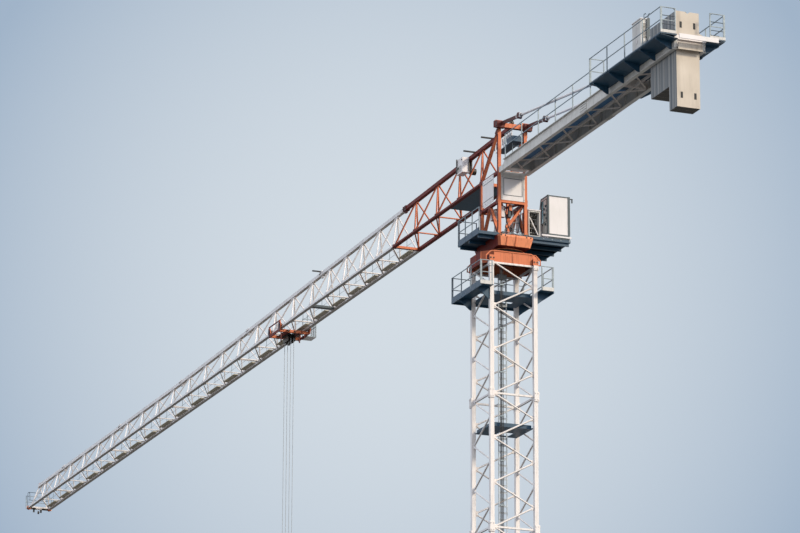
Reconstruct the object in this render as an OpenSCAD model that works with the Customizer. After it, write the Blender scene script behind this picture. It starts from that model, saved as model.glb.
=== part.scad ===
// Flat-top tower crane on a square lattice mast, as a 1:10 scale model in millimetres.
// +Z is up, +X runs along the jib and +Y is the left side of the jib. The origin lies
// under the foot frame on the slewing axis.

/* [Mast] */
// Distance between the centres of the mast legs
mast_w = 206; // [180:1:230]
// Width of a square mast leg
leg_w = 18; // [14:0.5:22]
// Height of one mast section
section_h = 590; // [540:1:640]
// Number of mast sections
section_count = 6; // [4:1:7]
// Thickness of a mast lacing bar
lacing_w = 8; // [6:0.5:10]
// Height of the sleeve at each end of a mast section
sleeve_h = 22; // [16:1:30]
// How far a sleeve stands out of the leg
sleeve_out = 4; // [2:0.5:6]

/* [Foot] */
// Height of the foot frame
foot_h = 60; // [45:1:80]
// Width of the foot beams and leg shoes
shoe_w = 30; // [26:1:36]
// Thickness of the four anchor plates
anchor_plate_t = 8; // [6:1:12]
// Distance from a leg centre to its anchor bolt, along X and along Y
anchor_out = 32; // [28:1:40]
// Radius of an anchor bolt hole
anchor_r = 5.5; // [4:0.5:7]

/* [Mast fittings] */
// Width of the ladder
ladder_w = 42; // [36:1:50]
// Height between two ladder rungs
rung_pitch = 30; // [26:1:34]
// Thickness of the ladder
ladder_t = 4; // [3:0.5:6]
// Height of a rest landing below the section joint above it
landing_drop = 140; // [100:1:200]
// Thickness of a walkway plate
plate_t = 3; // [2:0.5:5]
// Diameter of the supply cable
cable_d = 5; // [4:0.5:7]
// Height of the collar platform below the mast top
collar_drop = 120; // [100:1:140]
// Width of the walkway beside the mast
collar_walk_w = 62; // [50:1:70]
// Distance of the collar's front edge before the slewing axis
collar_front = 180; // [165:1:200]
// Distance of the collar's rear edge behind the slewing axis
collar_rear = 150; // [130:1:165]

/* [Railings] */
// Height of a railing
rail_h = 108; // [95:1:118]
// Width of a railing post
rail_post = 4; // [3:0.5:5]
// Width of a railing bar
rail_bar = 3; // [2:0.5:3.5]

/* [Slewing unit] */
// Height of the ring support on the mast
support_h = 55; // [45:1:65]
// Outer radius of the slewing ring
ring_r = 92; // [84:1:100]
// Height of the slewing ring
ring_h = 13; // [11:1:18]
// Running gap between the ring support and the slewing ring
ring_gap = 0.5; // [0.3:0.1:1]
// Height of the turntable
table_h = 50; // [40:1:60]
// Height of the mid beam above the turntable
mid_beam_up = 163; // [145:1:180]
// Height of the jib and counter-jib level above the turntable
chord_up = 296; // [270:1:320]
// Distance of the rear posts behind the slewing axis
rear_post_x = 97; // [88:1:106]
// Distance of the front posts before the slewing axis
front_post_x = 96; // [85:1:110]
// Width of a turret post
post_w = 14; // [11:0.5:17]
// Height and width of the head beam
head_w = 20; // [16:1:26]

/* [Jib] */
// Distance between the two bottom chords, which is also that of the counter-jib beams
chord_gap = 124; // [110:1:136]
// Width of a bottom chord
chord_w = 13; // [11:0.5:15]
// Width of the top chord
top_chord_w = 17; // [13:0.5:20]
// Length of one panel of the root section
root_panel = 265; // [250:1:280]
// Length of one panel of the second section
second_panel = 223; // [210:1:235]
// Length of one panel of the middle sections
panel = 270; // [255:1:285]
// Length of one panel of the last section
tip_panel = 256; // [240:1:270]
// Height between the chord centres at the turret
jib_h_root = 216; // [200:1:230]
// Height between the chord centres at the tip
jib_h_tip = 138; // [125:1:150]
// Radius at which the jib reaches its lowest height
taper_end_x = 4200; // [3800:10:4600]
// Thickness of a lacing bar in the three inner sections
jib_lacing_w = 8; // [6.5:0.5:9]
// Thickness of a lacing bar in the outer sections
outer_lacing_w = 6; // [5:0.5:7]
// Width of the running rail on the outside of a bottom chord
jib_rail_w = 5; // [4.5:0.5:6]
// Thickness of the running rail
jib_rail_t = 2.5; // [2:0.5:3]

/* [Counter-jib] */
// Length of the counter-jib behind the rear posts
counterjib_len = 1791; // [1720:1:1860]
// Depth of a counter-jib beam
beam_h = 50; // [44:1:54]
// Width of a counter-jib beam
beam_w = 18; // [15:0.5:20]
// Length of a rear platform beside the beams
platform_len = 690; // [640:1:740]
// Width of a rear platform
platform_w = 72; // [60:1:80]
// Distance of the tie's foot before the end of the counter-jib
tie_foot_in = 525; // [490:1:560]
// Width of a tie's flat link
tie_h = 16; // [12:0.5:18]
// Length of a tie's flat link
link_len = 185; // [160:1:210]
// Diameter of a tie's round bar
tie_d = 11; // [9:0.5:13]
// Thickness of a tie's link and eyes
tie_t = 5; // [4:0.5:6]
// Radius of a tie bar's pin
tie_pin_r = 4; // [3:0.5:5]

/* [Counterweight] */
// Width of a slab between the beams
slab_w = 102; // [90:1:104]
// Thickness of a short slab
short_slab_t = 41.5; // [36:0.5:44]
// Thickness of a long slab
long_slab_t = 35; // [30:0.5:38]
// Height of the short slabs
short_slab_h = 300; // [260:1:320]
// Height of the long slabs
long_slab_h = 403; // [370:1:420]
// Height of the slabs above the beams
slab_up = 117; // [100:1:130]
// Number of short slabs
short_slab_count = 4; // [2:1:4]
// Number of long slabs
long_slab_count = 2; // [1:1:2]

/* [Trolley] */
// Radius at which the trolley stands
trolley_x = 2745; // [1000:5:5000]
// Length of the trolley frame
trolley_len = 190; // [170:1:210]
// Radius of a trolley wheel
wheel_r = 9; // [8:0.5:10]
// Width of a trolley wheel
wheel_w = 4; // [3:0.5:4]
// Running gap under and beside a wheel
wheel_gap = 0.5; // [0.3:0.1:0.8]
// Free height between the jib and the trolley's cross members
trolley_gap = 6; // [5:0.5:9]
// Length of the hoist rope's falls below the trolley
fall_len = 1080; // [900:10:1200]
// Diameter of the hoist rope
rope_d = 3; // [2:0.5:4]
// Radius of a rope sheave
sheave_r = 20; // [16:1:24]

/* [Cab] */
// Length of the driver's cab along the jib
cab_len = 115; // [105:1:130]
// Width of the driver's cab
cab_w = 105; // [96:1:114]
// Height of the driver's cab
cab_h = 177; // [165:1:195]
// Wall thickness of the driver's cab
cab_wall = 3; // [2:0.5:5]

/* [Hidden] */

mast_h = section_count * section_h;
mast_top = foot_h + mast_h;
leg_pos = mast_w / 2;
leg_in = leg_pos - leg_w / 2;
leg_out = leg_pos + leg_w / 2;

ring_z = mast_top + support_h + ring_gap;
table_z = ring_z + ring_h;
deck_z = table_z + table_h;
mid_z = deck_z + mid_beam_up;
chord_z = deck_z + chord_up;
top_z = chord_z + jib_h_root;
side_y = chord_gap / 2;
side_out = side_y + post_w / 2;
side_in = side_y - post_w / 2;
rear_face = -rear_post_x - post_w / 2;
front_face = front_post_x + post_w / 2;

panel_counts = [4, 5, 4, 4, 4, 4, 2];
function panel_len(i) = i == 0 ? root_panel : i == 1 ? second_panel : i == 6 ? tip_panel : panel;
function jib_x(i) = i == 0 ? front_face : jib_x(i - 1) + panel_counts[i - 1] * panel_len(i - 1);
jib_end_x = jib_x(7);
function jib_h(x) =
  x >= taper_end_x ? jib_h_tip
  : jib_h_root + (jib_h_tip - jib_h_root) * (x + rear_post_x) / (taper_end_x + rear_post_x);
node_inset = 9;
rail_top_z = chord_z - chord_w / 2 + jib_rail_t;

beam_up = 15;
beam_z = chord_z + beam_up;
beam_top = beam_z + beam_h / 2;
beam_bottom = beam_z - beam_h / 2;
beam_out = side_y + beam_w / 2;
counterjib_end = rear_face - counterjib_len;
platform_rear = counterjib_end - 35;
platform_front = platform_rear + platform_len;
flange_t = 2.5;
web_t = 2;

steel_white = [0.86, 0.84, 0.80];
steel_orange = [0.82, 0.41, 0.29];
steel_blue = [0.12, 0.23, 0.31];
steel_grey = [0.56, 0.57, 0.57];
dark = [0.16, 0.15, 0.15];
zinc = [0.68, 0.70, 0.71];
concrete = [0.85, 0.78, 0.70];

// Round or few-sided bar from a to b.
module rod(a, b, d, sides = 6) {
  v = b - a;
  translate(a) rotate([0, acos(v.z / norm(v)), atan2(v.y, v.x)])
    cylinder(d = d, h = norm(v), $fn = sides);
}

// Square bar from a to b.
module bar(a, b, w) {
  v = b - a;
  translate(a) rotate([0, acos(v.z / norm(v)), atan2(v.y, v.x)])
    translate([-w / 2, -w / 2, 0]) cube([w, w, norm(v)]);
}

// Flat bar of an outline from a to b.
module flat_bar(a, b, w) {
  v = b - a;
  translate(a) rotate(atan2(v.y, v.x)) translate([0, -w / 2]) square([norm(v), w]);
}

// Extrudes an outline drawn in X and Z, centred on Y = 0.
module in_xz(t) {
  translate([0, t / 2, 0]) rotate([90, 0, 0]) linear_extrude(t) children();
}

// Extrudes an outline drawn in Y and Z along +X.
module in_yz(t) {
  rotate([90, 0, 90]) linear_extrude(t) children();
}

// Box between two corners.
module box(low, high) {
  translate(low) cube(high - low);
}

// Outline of an I-beam, centred on both axes.
module i_outline(w, h) {
  for (s = [-1, 1]) translate([-w / 2, s * (h / 2 - flange_t / 2) - flange_t / 2])
    square([w, flange_t]);
  translate([-web_t / 2, -h / 2]) square([web_t, h]);
}

// Railing along +X with its posts standing on z = 0.
module railing_run(length, gaps) {
  for (i = [0:gaps])
    translate([i * (length - rail_post) / gaps, 0, 0]) cube([rail_post, rail_post, rail_h]);
  for (level = [0.5, 1])
    translate([0, (rail_post - rail_bar) / 2, rail_h * level - rail_bar])
      cube([length, rail_bar, rail_bar]);
}

module foot_frame() {
  beam = shoe_w - 6;
  color(steel_orange) difference() {
    union() {
      for (x = [-1, 1], y = [-1, 1]) {
        translate([x * leg_pos, y * leg_pos, foot_h / 2])
          cube([shoe_w, shoe_w, foot_h], center = true);
        translate([x * (leg_pos + anchor_out / 2), y * (leg_pos + anchor_out / 2), anchor_plate_t / 2])
          cube([shoe_w + anchor_out, shoe_w + anchor_out, anchor_plate_t], center = true);
      }
      for (turn = [0, 90, 180, 270]) rotate(turn)
        translate([0, leg_pos, foot_h / 2 - 3]) cube([mast_w, beam, foot_h - 6], center = true);
      for (turn = [0, 90]) rotate(turn)
        translate([0, 0, foot_h / 2 - 6]) cube([mast_w, beam, foot_h - 12], center = true);
    }
    for (x = [-1, 1], y = [-1, 1])
      translate([x * (leg_pos + anchor_out), y * (leg_pos + anchor_out), -1])
        cylinder(r = anchor_r, h = anchor_plate_t + 2, $fn = 48);
  }
}

// Leg of the mast, with the sleeves of its section ends on the two outer sides.
module mast_leg(x_side, y_side) {
  color(steel_white) translate([x_side * leg_pos, y_side * leg_pos, foot_h])
    mirror([x_side < 0 ? 1 : 0, 0, 0]) mirror([0, y_side < 0 ? 1 : 0, 0]) {
      translate([-leg_w / 2, -leg_w / 2, 0]) cube([leg_w, leg_w, mast_h]);
      for (i = [0:section_count - 1], z = [0, section_h - sleeve_h])
        translate([-leg_w / 2, -leg_w / 2, i * section_h + z])
          cube([leg_w + sleeve_out, leg_w + sleeve_out, sleeve_h]);
    }
}

// Lacing of one mast side, drawn on the side that faces -Y.
module mast_lacing() {
  step = section_h / 6;
  over = lacing_w;
  color(steel_white) translate([0, -leg_pos, foot_h]) intersection() {
    translate([-leg_in, -lacing_w, 0]) cube([2 * leg_in, 2 * lacing_w, mast_h]);
    union() {
      for (i = [0:section_count * 6 - 1]) {
        s = i % 2 == 0 ? -1 : 1;
        a = [s * leg_in, 0, i * step];
        b = [-s * leg_in, 0, (i + 1) * step];
        u = (b - a) / norm(b - a) * over;
        rod(a - u, b + u, lacing_w);
      }
      for (i = [0:section_count]) {
        z = min(max(i * section_h, lacing_w / 2), mast_h - lacing_w / 2);
        translate([-leg_pos, -lacing_w / 2, z - lacing_w / 2]) cube([mast_w, lacing_w, lacing_w]);
      }
    }
  }
}

ladder_x = 62;
ladder_y = -20;
ladder_foot = foot_h + 4;
ladder_top = mast_top - 2;

module mast_ladder() {
  stile = 4;
  rung = 3;
  rungs = floor((ladder_top - ladder_foot - rung_pitch) / rung_pitch);
  color(zinc) {
    translate([ladder_x, ladder_y, ladder_foot]) in_yz(ladder_t) difference() {
      translate([-ladder_w / 2, 0]) square([ladder_w, ladder_top - ladder_foot]);
      for (i = [0:rungs]) translate([-ladder_w / 2 + stile, i * rung_pitch - 1])
        square([ladder_w - 2 * stile, rung_pitch - rung]);
    }
    for (i = [1:section_count], s = [-1, 1]) {
      z = min(i * section_h, mast_h - lacing_w / 2) + foot_h;
      translate([ladder_x + ladder_t - 1, ladder_y + s * (ladder_w / 2 - 2) - 1.5, z - 3])
        cube([leg_pos - lacing_w / 2 - ladder_x - ladder_t + 1, 3, 5]);
    }
  }
}

// Rest landing that is carried by lugs at the four legs, with a hatch round the ladder.
module mast_landings() {
  lug = 4;
  hatch = 12;
  color(steel_blue) for (i = [1:section_count])
    translate([0, 0, foot_h + i * section_h - landing_drop]) linear_extrude(plate_t) difference() {
      union() {
        translate([-leg_in + 12, -leg_in]) square([2 * leg_in - 12, 2 * leg_in]);
        for (y = [-1, 1]) translate([-leg_in, y * leg_in - lug]) square([2 * leg_in, 2 * lug]);
      }
      translate([ladder_x - 45, ladder_y - ladder_w / 2 - hatch])
        square([45 + ladder_t + hatch, ladder_w + 2 * hatch]);
    }
}

cable_y = 52;
cable_x = -leg_pos + lacing_w / 2 + 4;

module supply_cable() {
  color(dark) {
    translate([cable_x, cable_y, foot_h]) cylinder(d = cable_d, h = mast_h, $fn = 24);
    for (i = [1:section_count]) {
      z = min(i * section_h, mast_h - lacing_w / 2) + foot_h;
      box([-leg_pos + lacing_w / 2, cable_y - 3, z - 3], [cable_x, cable_y + 3, z + 3]);
    }
  }
}

collar_z = mast_top - collar_drop;
collar_out = leg_out + collar_walk_w;
collar_all = collar_front + collar_rear;

module collar_platform() {
  edge_h = 10;
  color(steel_blue) {
    translate([0, 0, collar_z]) linear_extrude(plate_t) collar_outline();
    translate([0, 0, collar_z - edge_h + 1]) linear_extrude(edge_h - 1) difference() {
      collar_outline();
      translate([-collar_rear - 1, -collar_out + 4])
        square([collar_all - 3, 2 * collar_out - 8]);
    }
    for (x = [-1, 1], y = [-1, 1])
      translate([x * leg_pos, y * leg_out, collar_z]) rotate([90, 0, y > 0 ? 90 : -90])
        translate([0, 0, -3]) linear_extrude(6)
          polygon([[0, -50], [6, -50], [collar_walk_w - 2, -6], [collar_walk_w - 2, 1], [0, 1]]);
  }
}

// Outline of the walkway on three sides of the mast, open to the rear.
module collar_outline() {
  difference() {
    translate([-collar_rear, -collar_out]) square([collar_all, 2 * collar_out]);
    translate([-collar_rear - 1, -leg_out]) square([collar_rear + leg_out + 1, 2 * leg_out]);
  }
}

module collar_railing() {
  z = collar_z + plate_t;
  color(zinc) {
    for (y = [collar_out - rail_post, -collar_out])
      translate([-collar_rear, y, z]) railing_run(collar_all, 3);
    translate([collar_front, -collar_out + rail_post, z]) rotate(90)
      railing_run(2 * collar_out - 2 * rail_post, 4);
    for (y = [leg_out + 4, -collar_out + rail_post])
      translate([-collar_rear + rail_post, y, z]) rotate(90)
        railing_run(collar_walk_w - 4 - rail_post, 1);
  }
}

// Octagon round the slewing axis, which reaches x_out and y_out with its corners cut back.
module octagon(x_out, y_out, cut) {
  polygon([
    [-x_out, cut - y_out], [cut - x_out, -y_out], [x_out - cut, -y_out], [x_out, cut - y_out],
    [x_out, y_out - cut], [x_out - cut, y_out], [cut - x_out, y_out], [-x_out, y_out - cut]
  ]);
}

// Welded box on the four legs that carries the slewing ring, open to the mast below.
module ring_support() {
  wall = 8;
  pad = leg_w + 8;
  x_out = 103;
  y_out = 134;
  cut = 46;
  seat = 24;
  color(steel_orange) translate([0, 0, mast_top]) {
    for (x = [-1, 1], y = [-1, 1]) translate([x * leg_pos, y * leg_pos, support_h / 4])
      cube([pad, pad, support_h / 2], center = true);
    linear_extrude(support_h - 1) difference() {
      octagon(x_out, y_out, cut);
      octagon(x_out - wall, y_out - wall, cut - wall / 2);
    }
    translate([0, 0, support_h - 7]) linear_extrude(6) difference() {
      octagon(x_out - 1, y_out - 1, cut);
      circle(r = ring_r - seat, $fn = 96);
    }
    translate([0, 0, support_h - 2]) linear_extrude(2) difference() {
      circle(r = ring_r, $fn = 96);
      circle(r = ring_r - seat, $fn = 96);
    }
  }
}

module slewing_ring() {
  color(dark) translate([0, 0, ring_z]) difference() {
    union() {
      cylinder(r = ring_r - 3, h = ring_h, $fn = 96);
      translate([0, 0, 3]) cylinder(r = ring_r, h = ring_h - 6, $fn = 96);
    }
    translate([0, 0, -1]) cylinder(r = ring_r - 20, h = ring_h + 2, $fn = 96);
  }
}

table_y = 84;

// Welded box that widens from the ring to the turret posts.
module turntable() {
  plate = 8;
  seat = 4;
  x_out = 140;
  y_out = table_y;
  cut = 10;
  narrow = 0.9;
  color(steel_orange) translate([0, 0, table_z]) difference() {
    union() {
      cylinder(r = ring_r, h = seat + 1, $fn = 96);
      translate([0, 0, table_h - plate]) linear_extrude(plate) octagon(x_out, y_out, cut);
      translate([0, 0, seat]) linear_extrude(table_h - plate - seat, scale = 1 / narrow)
        octagon(x_out * narrow, y_out * narrow, cut * narrow);
    }
    translate([0, 0, -1]) cylinder(r = ring_r - 22, h = table_h - plate + 1, $fn = 96);
    cylinder(r = 9, h = table_h + 1, $fn = 48);
  }
}

// Side frame of the turret, one profile of posts, beams and braces.
module turret_side(side) {
  w = post_w;
  rear = -rear_post_x;
  front = front_post_x;
  middle = (rear + front) / 2;
  color(steel_orange) translate([0, side * side_y, 0]) in_xz(post_w) difference() {
    union() {
      flat_bar([rear, deck_z], [rear, top_z - head_w / 2], w);
      flat_bar([front, deck_z], [front, chord_z + 12], w);
      flat_bar([rear, deck_z + w / 2], [front, deck_z + w / 2], w);
      flat_bar([rear, mid_z], [front, mid_z], w - 2);
      flat_bar([rear, chord_z], [front, chord_z], w - 1);
      flat_bar([rear, top_z - head_w / 2 - 8], [front, chord_z + 6], w - 4);
      flat_bar([rear, deck_z + 6], [middle, mid_z], w - 5);
      flat_bar([middle, mid_z], [front, deck_z + 6], w - 5);
    }
    translate([rear - 60, top_z - head_w / 2]) square(120);
    translate([rear - w / 2 - 60, deck_z]) square([60, 2 * chord_up]);
    translate([front + w / 2, deck_z]) square([60, 2 * chord_up]);
  }
}

// Cross members between the two side frames.
module turret_braces() {
  color(steel_orange) {
    for (x = [-rear_post_x, front_post_x], z = [deck_z + post_w / 2, mid_z, chord_z])
      box([x - post_w / 2, -side_in, z - post_w / 2], [x + post_w / 2, side_in, z + post_w / 2]);
    for (s = [-1, 1])
      translate([0, 0, mid_z]) intersection() {
        box([-rear_post_x, -side_in, -10], [front_post_x, side_in, 10]);
        bar([-rear_post_x, -s * side_in, 0], [front_post_x, s * side_in, 0], 8);
      }
  }
}

tie_head = [rear_face - 16, top_z];
tie_foot = [counterjib_end + tie_foot_in, beam_top + 16];
tie_u = (tie_foot - tie_head) / norm(tie_foot - tie_head);
tie_joint = tie_head + tie_u * link_len;
lug_t = 3;
lug_gap = 0.5;
lug_r = 9;

// Fork of two plates and a pin round a tie bar's eye. Its child is the plates' root.
module tie_fork(point) {
  half = tie_t / 2 + lug_gap;
  for (t = [-1, 1]) translate([0, t * (half + lug_t / 2), 0]) in_xz(lug_t) {
    translate(point) circle(r = lug_r, $fn = 48);
    children();
  }
  translate([point.x, 0, point.y]) rotate([90, 0, 0])
    cylinder(r = tie_pin_r, h = 2 * (half + lug_t) + 4, center = true, $fn = 32);
}

module turret_head() {
  color(steel_orange) {
    box([-rear_post_x - head_w / 2, -side_out - 4, top_z - head_w / 2],
        [-rear_post_x + head_w / 2, side_out + 4, top_z + head_w / 2]);
    for (s = [-1, 1]) {
      box([-rear_post_x - head_w / 2 - 2, s * side_y - 22, top_z - head_w / 2],
          [-rear_post_x + head_w / 2 + 2, s * side_y + 21, top_z + head_w / 2 + 9]);
      translate([0, s * side_y, 0]) tie_fork(tie_head) translate([tie_head.x, tie_head.y - lug_r])
        square([-rear_post_x - head_w / 2 - tie_head.x + 1, 2 * lug_r]);
    }
  }
}

// Tray between the rear posts, from which the tie pins are reached.
module head_platform() {
  low = [-rear_post_x - 3, -side_in, top_z - 65];
  high = [-rear_post_x + 57, 0, top_z - 40];
  color(steel_blue) difference() {
    box(low, high);
    box(low + [plate_t, plate_t, plate_t], high + [-plate_t, -plate_t, 1]);
  }
}

panel_t = 2;

module turret_panels() {
  color(steel_white) {
    box([rear_face + 50, side_out, mid_z + 11], [front_face - 35, side_out + panel_t, chord_z + 1]);
    box([rear_face - panel_t, -side_in - 1, mid_z + 5], [rear_face, side_in + 1, chord_z - 15]);
  }
}

module slew_motors() {
  color(steel_white) for (y = [-1, 1]) {
    translate([8, y * 26, deck_z]) cylinder(r = 15, h = 60, $fn = 48);
    translate([8, y * 26, deck_z + 60]) cylinder(r = 11, h = 38, $fn = 48);
  }
}

walk_edge = 10;
slew_walk_z = deck_z + walk_edge;
left_walk = [[-113, side_out], [127, 165]];
right_walk = [[-120, -268], [170, -side_out]];
joist_h = 14;

// Walkway plate with an edge frame under it.
module walkway(low, high) {
  box([low.x, low.y, slew_walk_z], [high.x, high.y, slew_walk_z + plate_t]);
  translate([0, 0, deck_z]) linear_extrude(walk_edge + 1) difference() {
    translate(low) square(high - low);
    translate(low + [4, 4]) square(high - low - [8, 8]);
  }
}

// Joists that carry a walkway on the side of the turntable, out to y_end.
module joists(x_list, y_end) {
  for (x = x_list)
    box([x, min(sign(y_end) * table_y, y_end), deck_z - joist_h],
        [x + 6, max(sign(y_end) * table_y, y_end), deck_z + 1]);
}

module slewing_platform_left() {
  color(steel_blue) {
    walkway(left_walk[0], left_walk[1]);
    joists([-95, 5, 105], left_walk[1].y - 4);
  }
}

module slewing_platform_right() {
  color(steel_blue) {
    walkway(right_walk[0], right_walk[1]);
    joists([-112, -30, 50, 130], right_walk[0].y + 4);
  }
}

module slewing_railings() {
  z = slew_walk_z + plate_t;
  left = left_walk[1] - left_walk[0];
  color(zinc) {
    translate([left_walk[0].x, left_walk[1].y - rail_post, z]) railing_run(left.x, 3);
    translate([left_walk[1].x, left_walk[0].y + 6, z]) rotate(90)
      railing_run(left.y - 6 - rail_post, 1);
    translate([cab_high.x + 6, right_walk[0].y, z]) railing_run(right_walk[1].x - cab_high.x - 6, 2);
    translate([right_walk[1].x, right_walk[0].y + rail_post, z]) rotate(90)
      railing_run(right_walk[1].y - right_walk[0].y - 6 - rail_post, 3);
  }
}

cab_skid_h = 19;
cab_low = [right_walk[0].x, right_walk[0].y + 3, slew_walk_z + plate_t + cab_skid_h];
cab_high = cab_low + [cab_len, cab_w, cab_h];
cab_mid_y = (cab_low.y + cab_high.y) / 2;
roof_back = 40;
sill_z = cab_low.z + 40;

// Side outline of the cab in X and Z, with the raked windscreen.
module cab_outline(inset) {
  polygon([
    [cab_low.x + inset, cab_low.z + inset], [cab_high.x - 16 - inset / 2, cab_low.z + inset],
    [cab_high.x - inset, sill_z + inset / 3], [cab_high.x - roof_back - inset, cab_high.z - inset],
    [cab_low.x + inset, cab_high.z - inset]
  ]);
}

side_window = [[cab_low.x + 12, cab_low.z + 62], [cab_high.x - roof_back - 6, cab_high.z - 16]];
screen_foot = [cab_high.x, sill_z];
screen_u = ([cab_high.x - roof_back, cab_high.z] - screen_foot) / norm([-roof_back, cab_high.z - sill_z]);
screen_n = [screen_u.y, -screen_u.x];

// Strip along the windscreen between two depths, which keeps clear of its upper and lower edge.
module screen_strip(from, to, clear) {
  low = screen_foot + screen_u * clear;
  high = screen_foot + screen_u * (norm([-roof_back, cab_high.z - sill_z]) - clear);
  polygon([low + screen_n * from, high + screen_n * from, high + screen_n * to, low + screen_n * to]);
}

module cab_body() {
  color(steel_white) {
    difference() {
      translate([0, cab_mid_y, 0]) in_xz(cab_w) cab_outline(0);
      translate([0, cab_mid_y, 0]) in_xz(cab_w - 2 * cab_wall) cab_outline(cab_wall);
      translate([0, cab_mid_y, 0]) in_xz(cab_w + 20) translate(side_window[0])
        square(side_window[1] - side_window[0]);
      translate([0, cab_mid_y, 0]) in_xz(cab_w - 16) screen_strip(-8, 2, 8);
    }
    for (x = [cab_low.x, cab_low.x + 85])
      box([x, cab_low.y, cab_low.z - cab_skid_h], [x + 12, cab_high.y, cab_low.z + 1]);
    for (y = [cab_low.y, cab_high.y - 8])
      box([cab_low.x, y, cab_low.z - 10], [cab_low.x + 97, y + 8, cab_low.z + 1]);
  }
}

module cab_glass() {
  glass_t = 2;
  play = 0.3;
  color([0.3, 0.4, 0.45]) {
    for (y = [cab_low.y, cab_high.y - glass_t])
      box([side_window[0].x + play, y, side_window[0].y + play],
          [side_window[1].x - play, y + glass_t, side_window[1].y - play]);
    translate([0, cab_mid_y, 0]) in_xz(cab_w - 16 - 2 * play) screen_strip(-glass_t, 0, 8 + play);
  }
}

// Cabinet with an open rear, behind which the switchgear stands.
module control_cabinet() {
  low = [rear_face, -130, slew_walk_z + plate_t];
  high = [rear_face + 74, -side_out - 6, slew_walk_z + plate_t + 122];
  color(steel_grey) difference() {
    box(low, high);
    box([low.x - 1, low.y + 4, low.z + 8], [low.x + 40, high.y - 4, high.z - 6]);
  }
}

function bottom_node(x, side) = [x, side * side_y, chord_z];
function top_node(x) = [x, 0, chord_z + jib_h(x)];

// One section of the jib: three chords, the side lacing and the bottom bracing.
module jib_section(i) {
  count = panel_counts[i];
  length = panel_len(i);
  x0 = jib_x(i);
  x1 = x0 + count * length;
  head_front = -rear_post_x + head_w / 2 + 2;
  w = i < 3 ? jib_lacing_w : outer_lacing_w;
  top_start = i == 0 ? [head_front, 0, top_z] : top_node(x0);
  color(i == 0 ? steel_orange : steel_white) {
    for (s = [-1, 1]) {
      box([x0, s * side_y - chord_w / 2, chord_z - chord_w / 2],
          [x1, s * side_y + chord_w / 2, chord_z + chord_w / 2]);
      y = s * (side_y + chord_w / 2);
      box([x0, min(y - s, y + s * jib_rail_w), chord_z - chord_w / 2],
          [x1, max(y - s, y + s * jib_rail_w), rail_top_z]);
      for (x = [x0, x1 - 14])
        box([x, s * side_y - chord_w / 2 + 1, chord_z], [x + 14, s * side_y + chord_w / 2 - 1, chord_z + 9]);
    }
    intersection() {
      box([x0 > front_face ? x0 : head_front, -20, chord_z], [x1, 20, top_z + 20]);
      bar(top_start - [20, 0, 0], top_node(x1) + [20, 0, 0], top_chord_w);
    }
    for (k = [0:count - 1], s = [-1, 1]) {
      a = min(max(x0 + k * length, x0 + node_inset), x1 - node_inset);
      b = min(x0 + (k + 1) * length, x1 - node_inset);
      apex = top_node(x0 + (k + 0.5) * length);
      rod(bottom_node(a, s), apex, w);
      rod(bottom_node(b, s), apex, w);
    }
    for (k = [0:count]) {
      x = min(max(x0 + k * length, x0 + node_inset), x1 - node_inset);
      rod(bottom_node(x, -1), bottom_node(x, 1), w - 1);
      if (k < count)
        rod(bottom_node(x, 1), bottom_node(min(x0 + (k + 1) * length, x1 - node_inset), -1), w - 1);
    }
  }
}

module jib_tip() {
  w = 8;
  x = jib_end_x;
  color(steel_white) {
    box([x, -side_y - 18, chord_z - 9], [x + w, side_y + 18, chord_z + 9]);
    for (s = [-1, 1])
      rod([x + w / 2, s * (side_y - 10), chord_z], [x + w / 2, 0, chord_z + jib_h_tip], outer_lacing_w);
    box([x, -top_chord_w / 2, chord_z + jib_h_tip - 12], [x + w, top_chord_w / 2, chord_z + jib_h_tip + 9]);
  }
  color(steel_orange) for (s = [-1, 1])
    translate([x + w - 1, s * (side_y + 8), chord_z]) rotate([0, 90, 0]) cylinder(r = 6, h = 15, $fn = 32);
}

module jib_tip_railing() {
  height = 72;
  y_end = side_y + 16;
  x = jib_end_x + 8;
  color(zinc) {
    for (s = [-1, 1])
      box([x, s * y_end - rail_post / 2, chord_z - 6],
          [x + rail_post, s * y_end + rail_post / 2, chord_z + height]);
    for (up = [height / 2, height])
      box([x, -y_end, chord_z + up - rail_bar], [x + rail_bar, y_end, chord_z + up]);
  }
}

// Strips of grating along the right chord, one in each bay.
module jib_walkway() {
  strip_w = 24;
  share = 0.62;
  strip_z = chord_z + (jib_lacing_w - 1) / 2 + 0.1;
  color(zinc) for (i = [1:6], k = [0:panel_counts[i] - 1]) {
    x = jib_x(i) + (k + (1 - share) / 2) * panel_len(i);
    box([x, -side_y + chord_w / 2, strip_z],
        [x + share * panel_len(i), -side_y + chord_w / 2 + strip_w, strip_z + 2.5]);
  }
}

// Deck between the two bottom chords next to the turret.
module jib_root_deck() {
  color(steel_blue) box([front_face + 7, -side_y + chord_w / 2, chord_z - chord_w / 2],
                        [front_face + 377, side_y - chord_w / 2, chord_z - (jib_lacing_w - 1) / 2 - 0.5]);
}

module trolley_winch() {
  x = front_face + 269;
  top = chord_z + jib_h(x);
  color(steel_white) box([x, top_chord_w / 2, top - 66], [x + 68, top_chord_w / 2 + 33, top + 4]);
}

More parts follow.
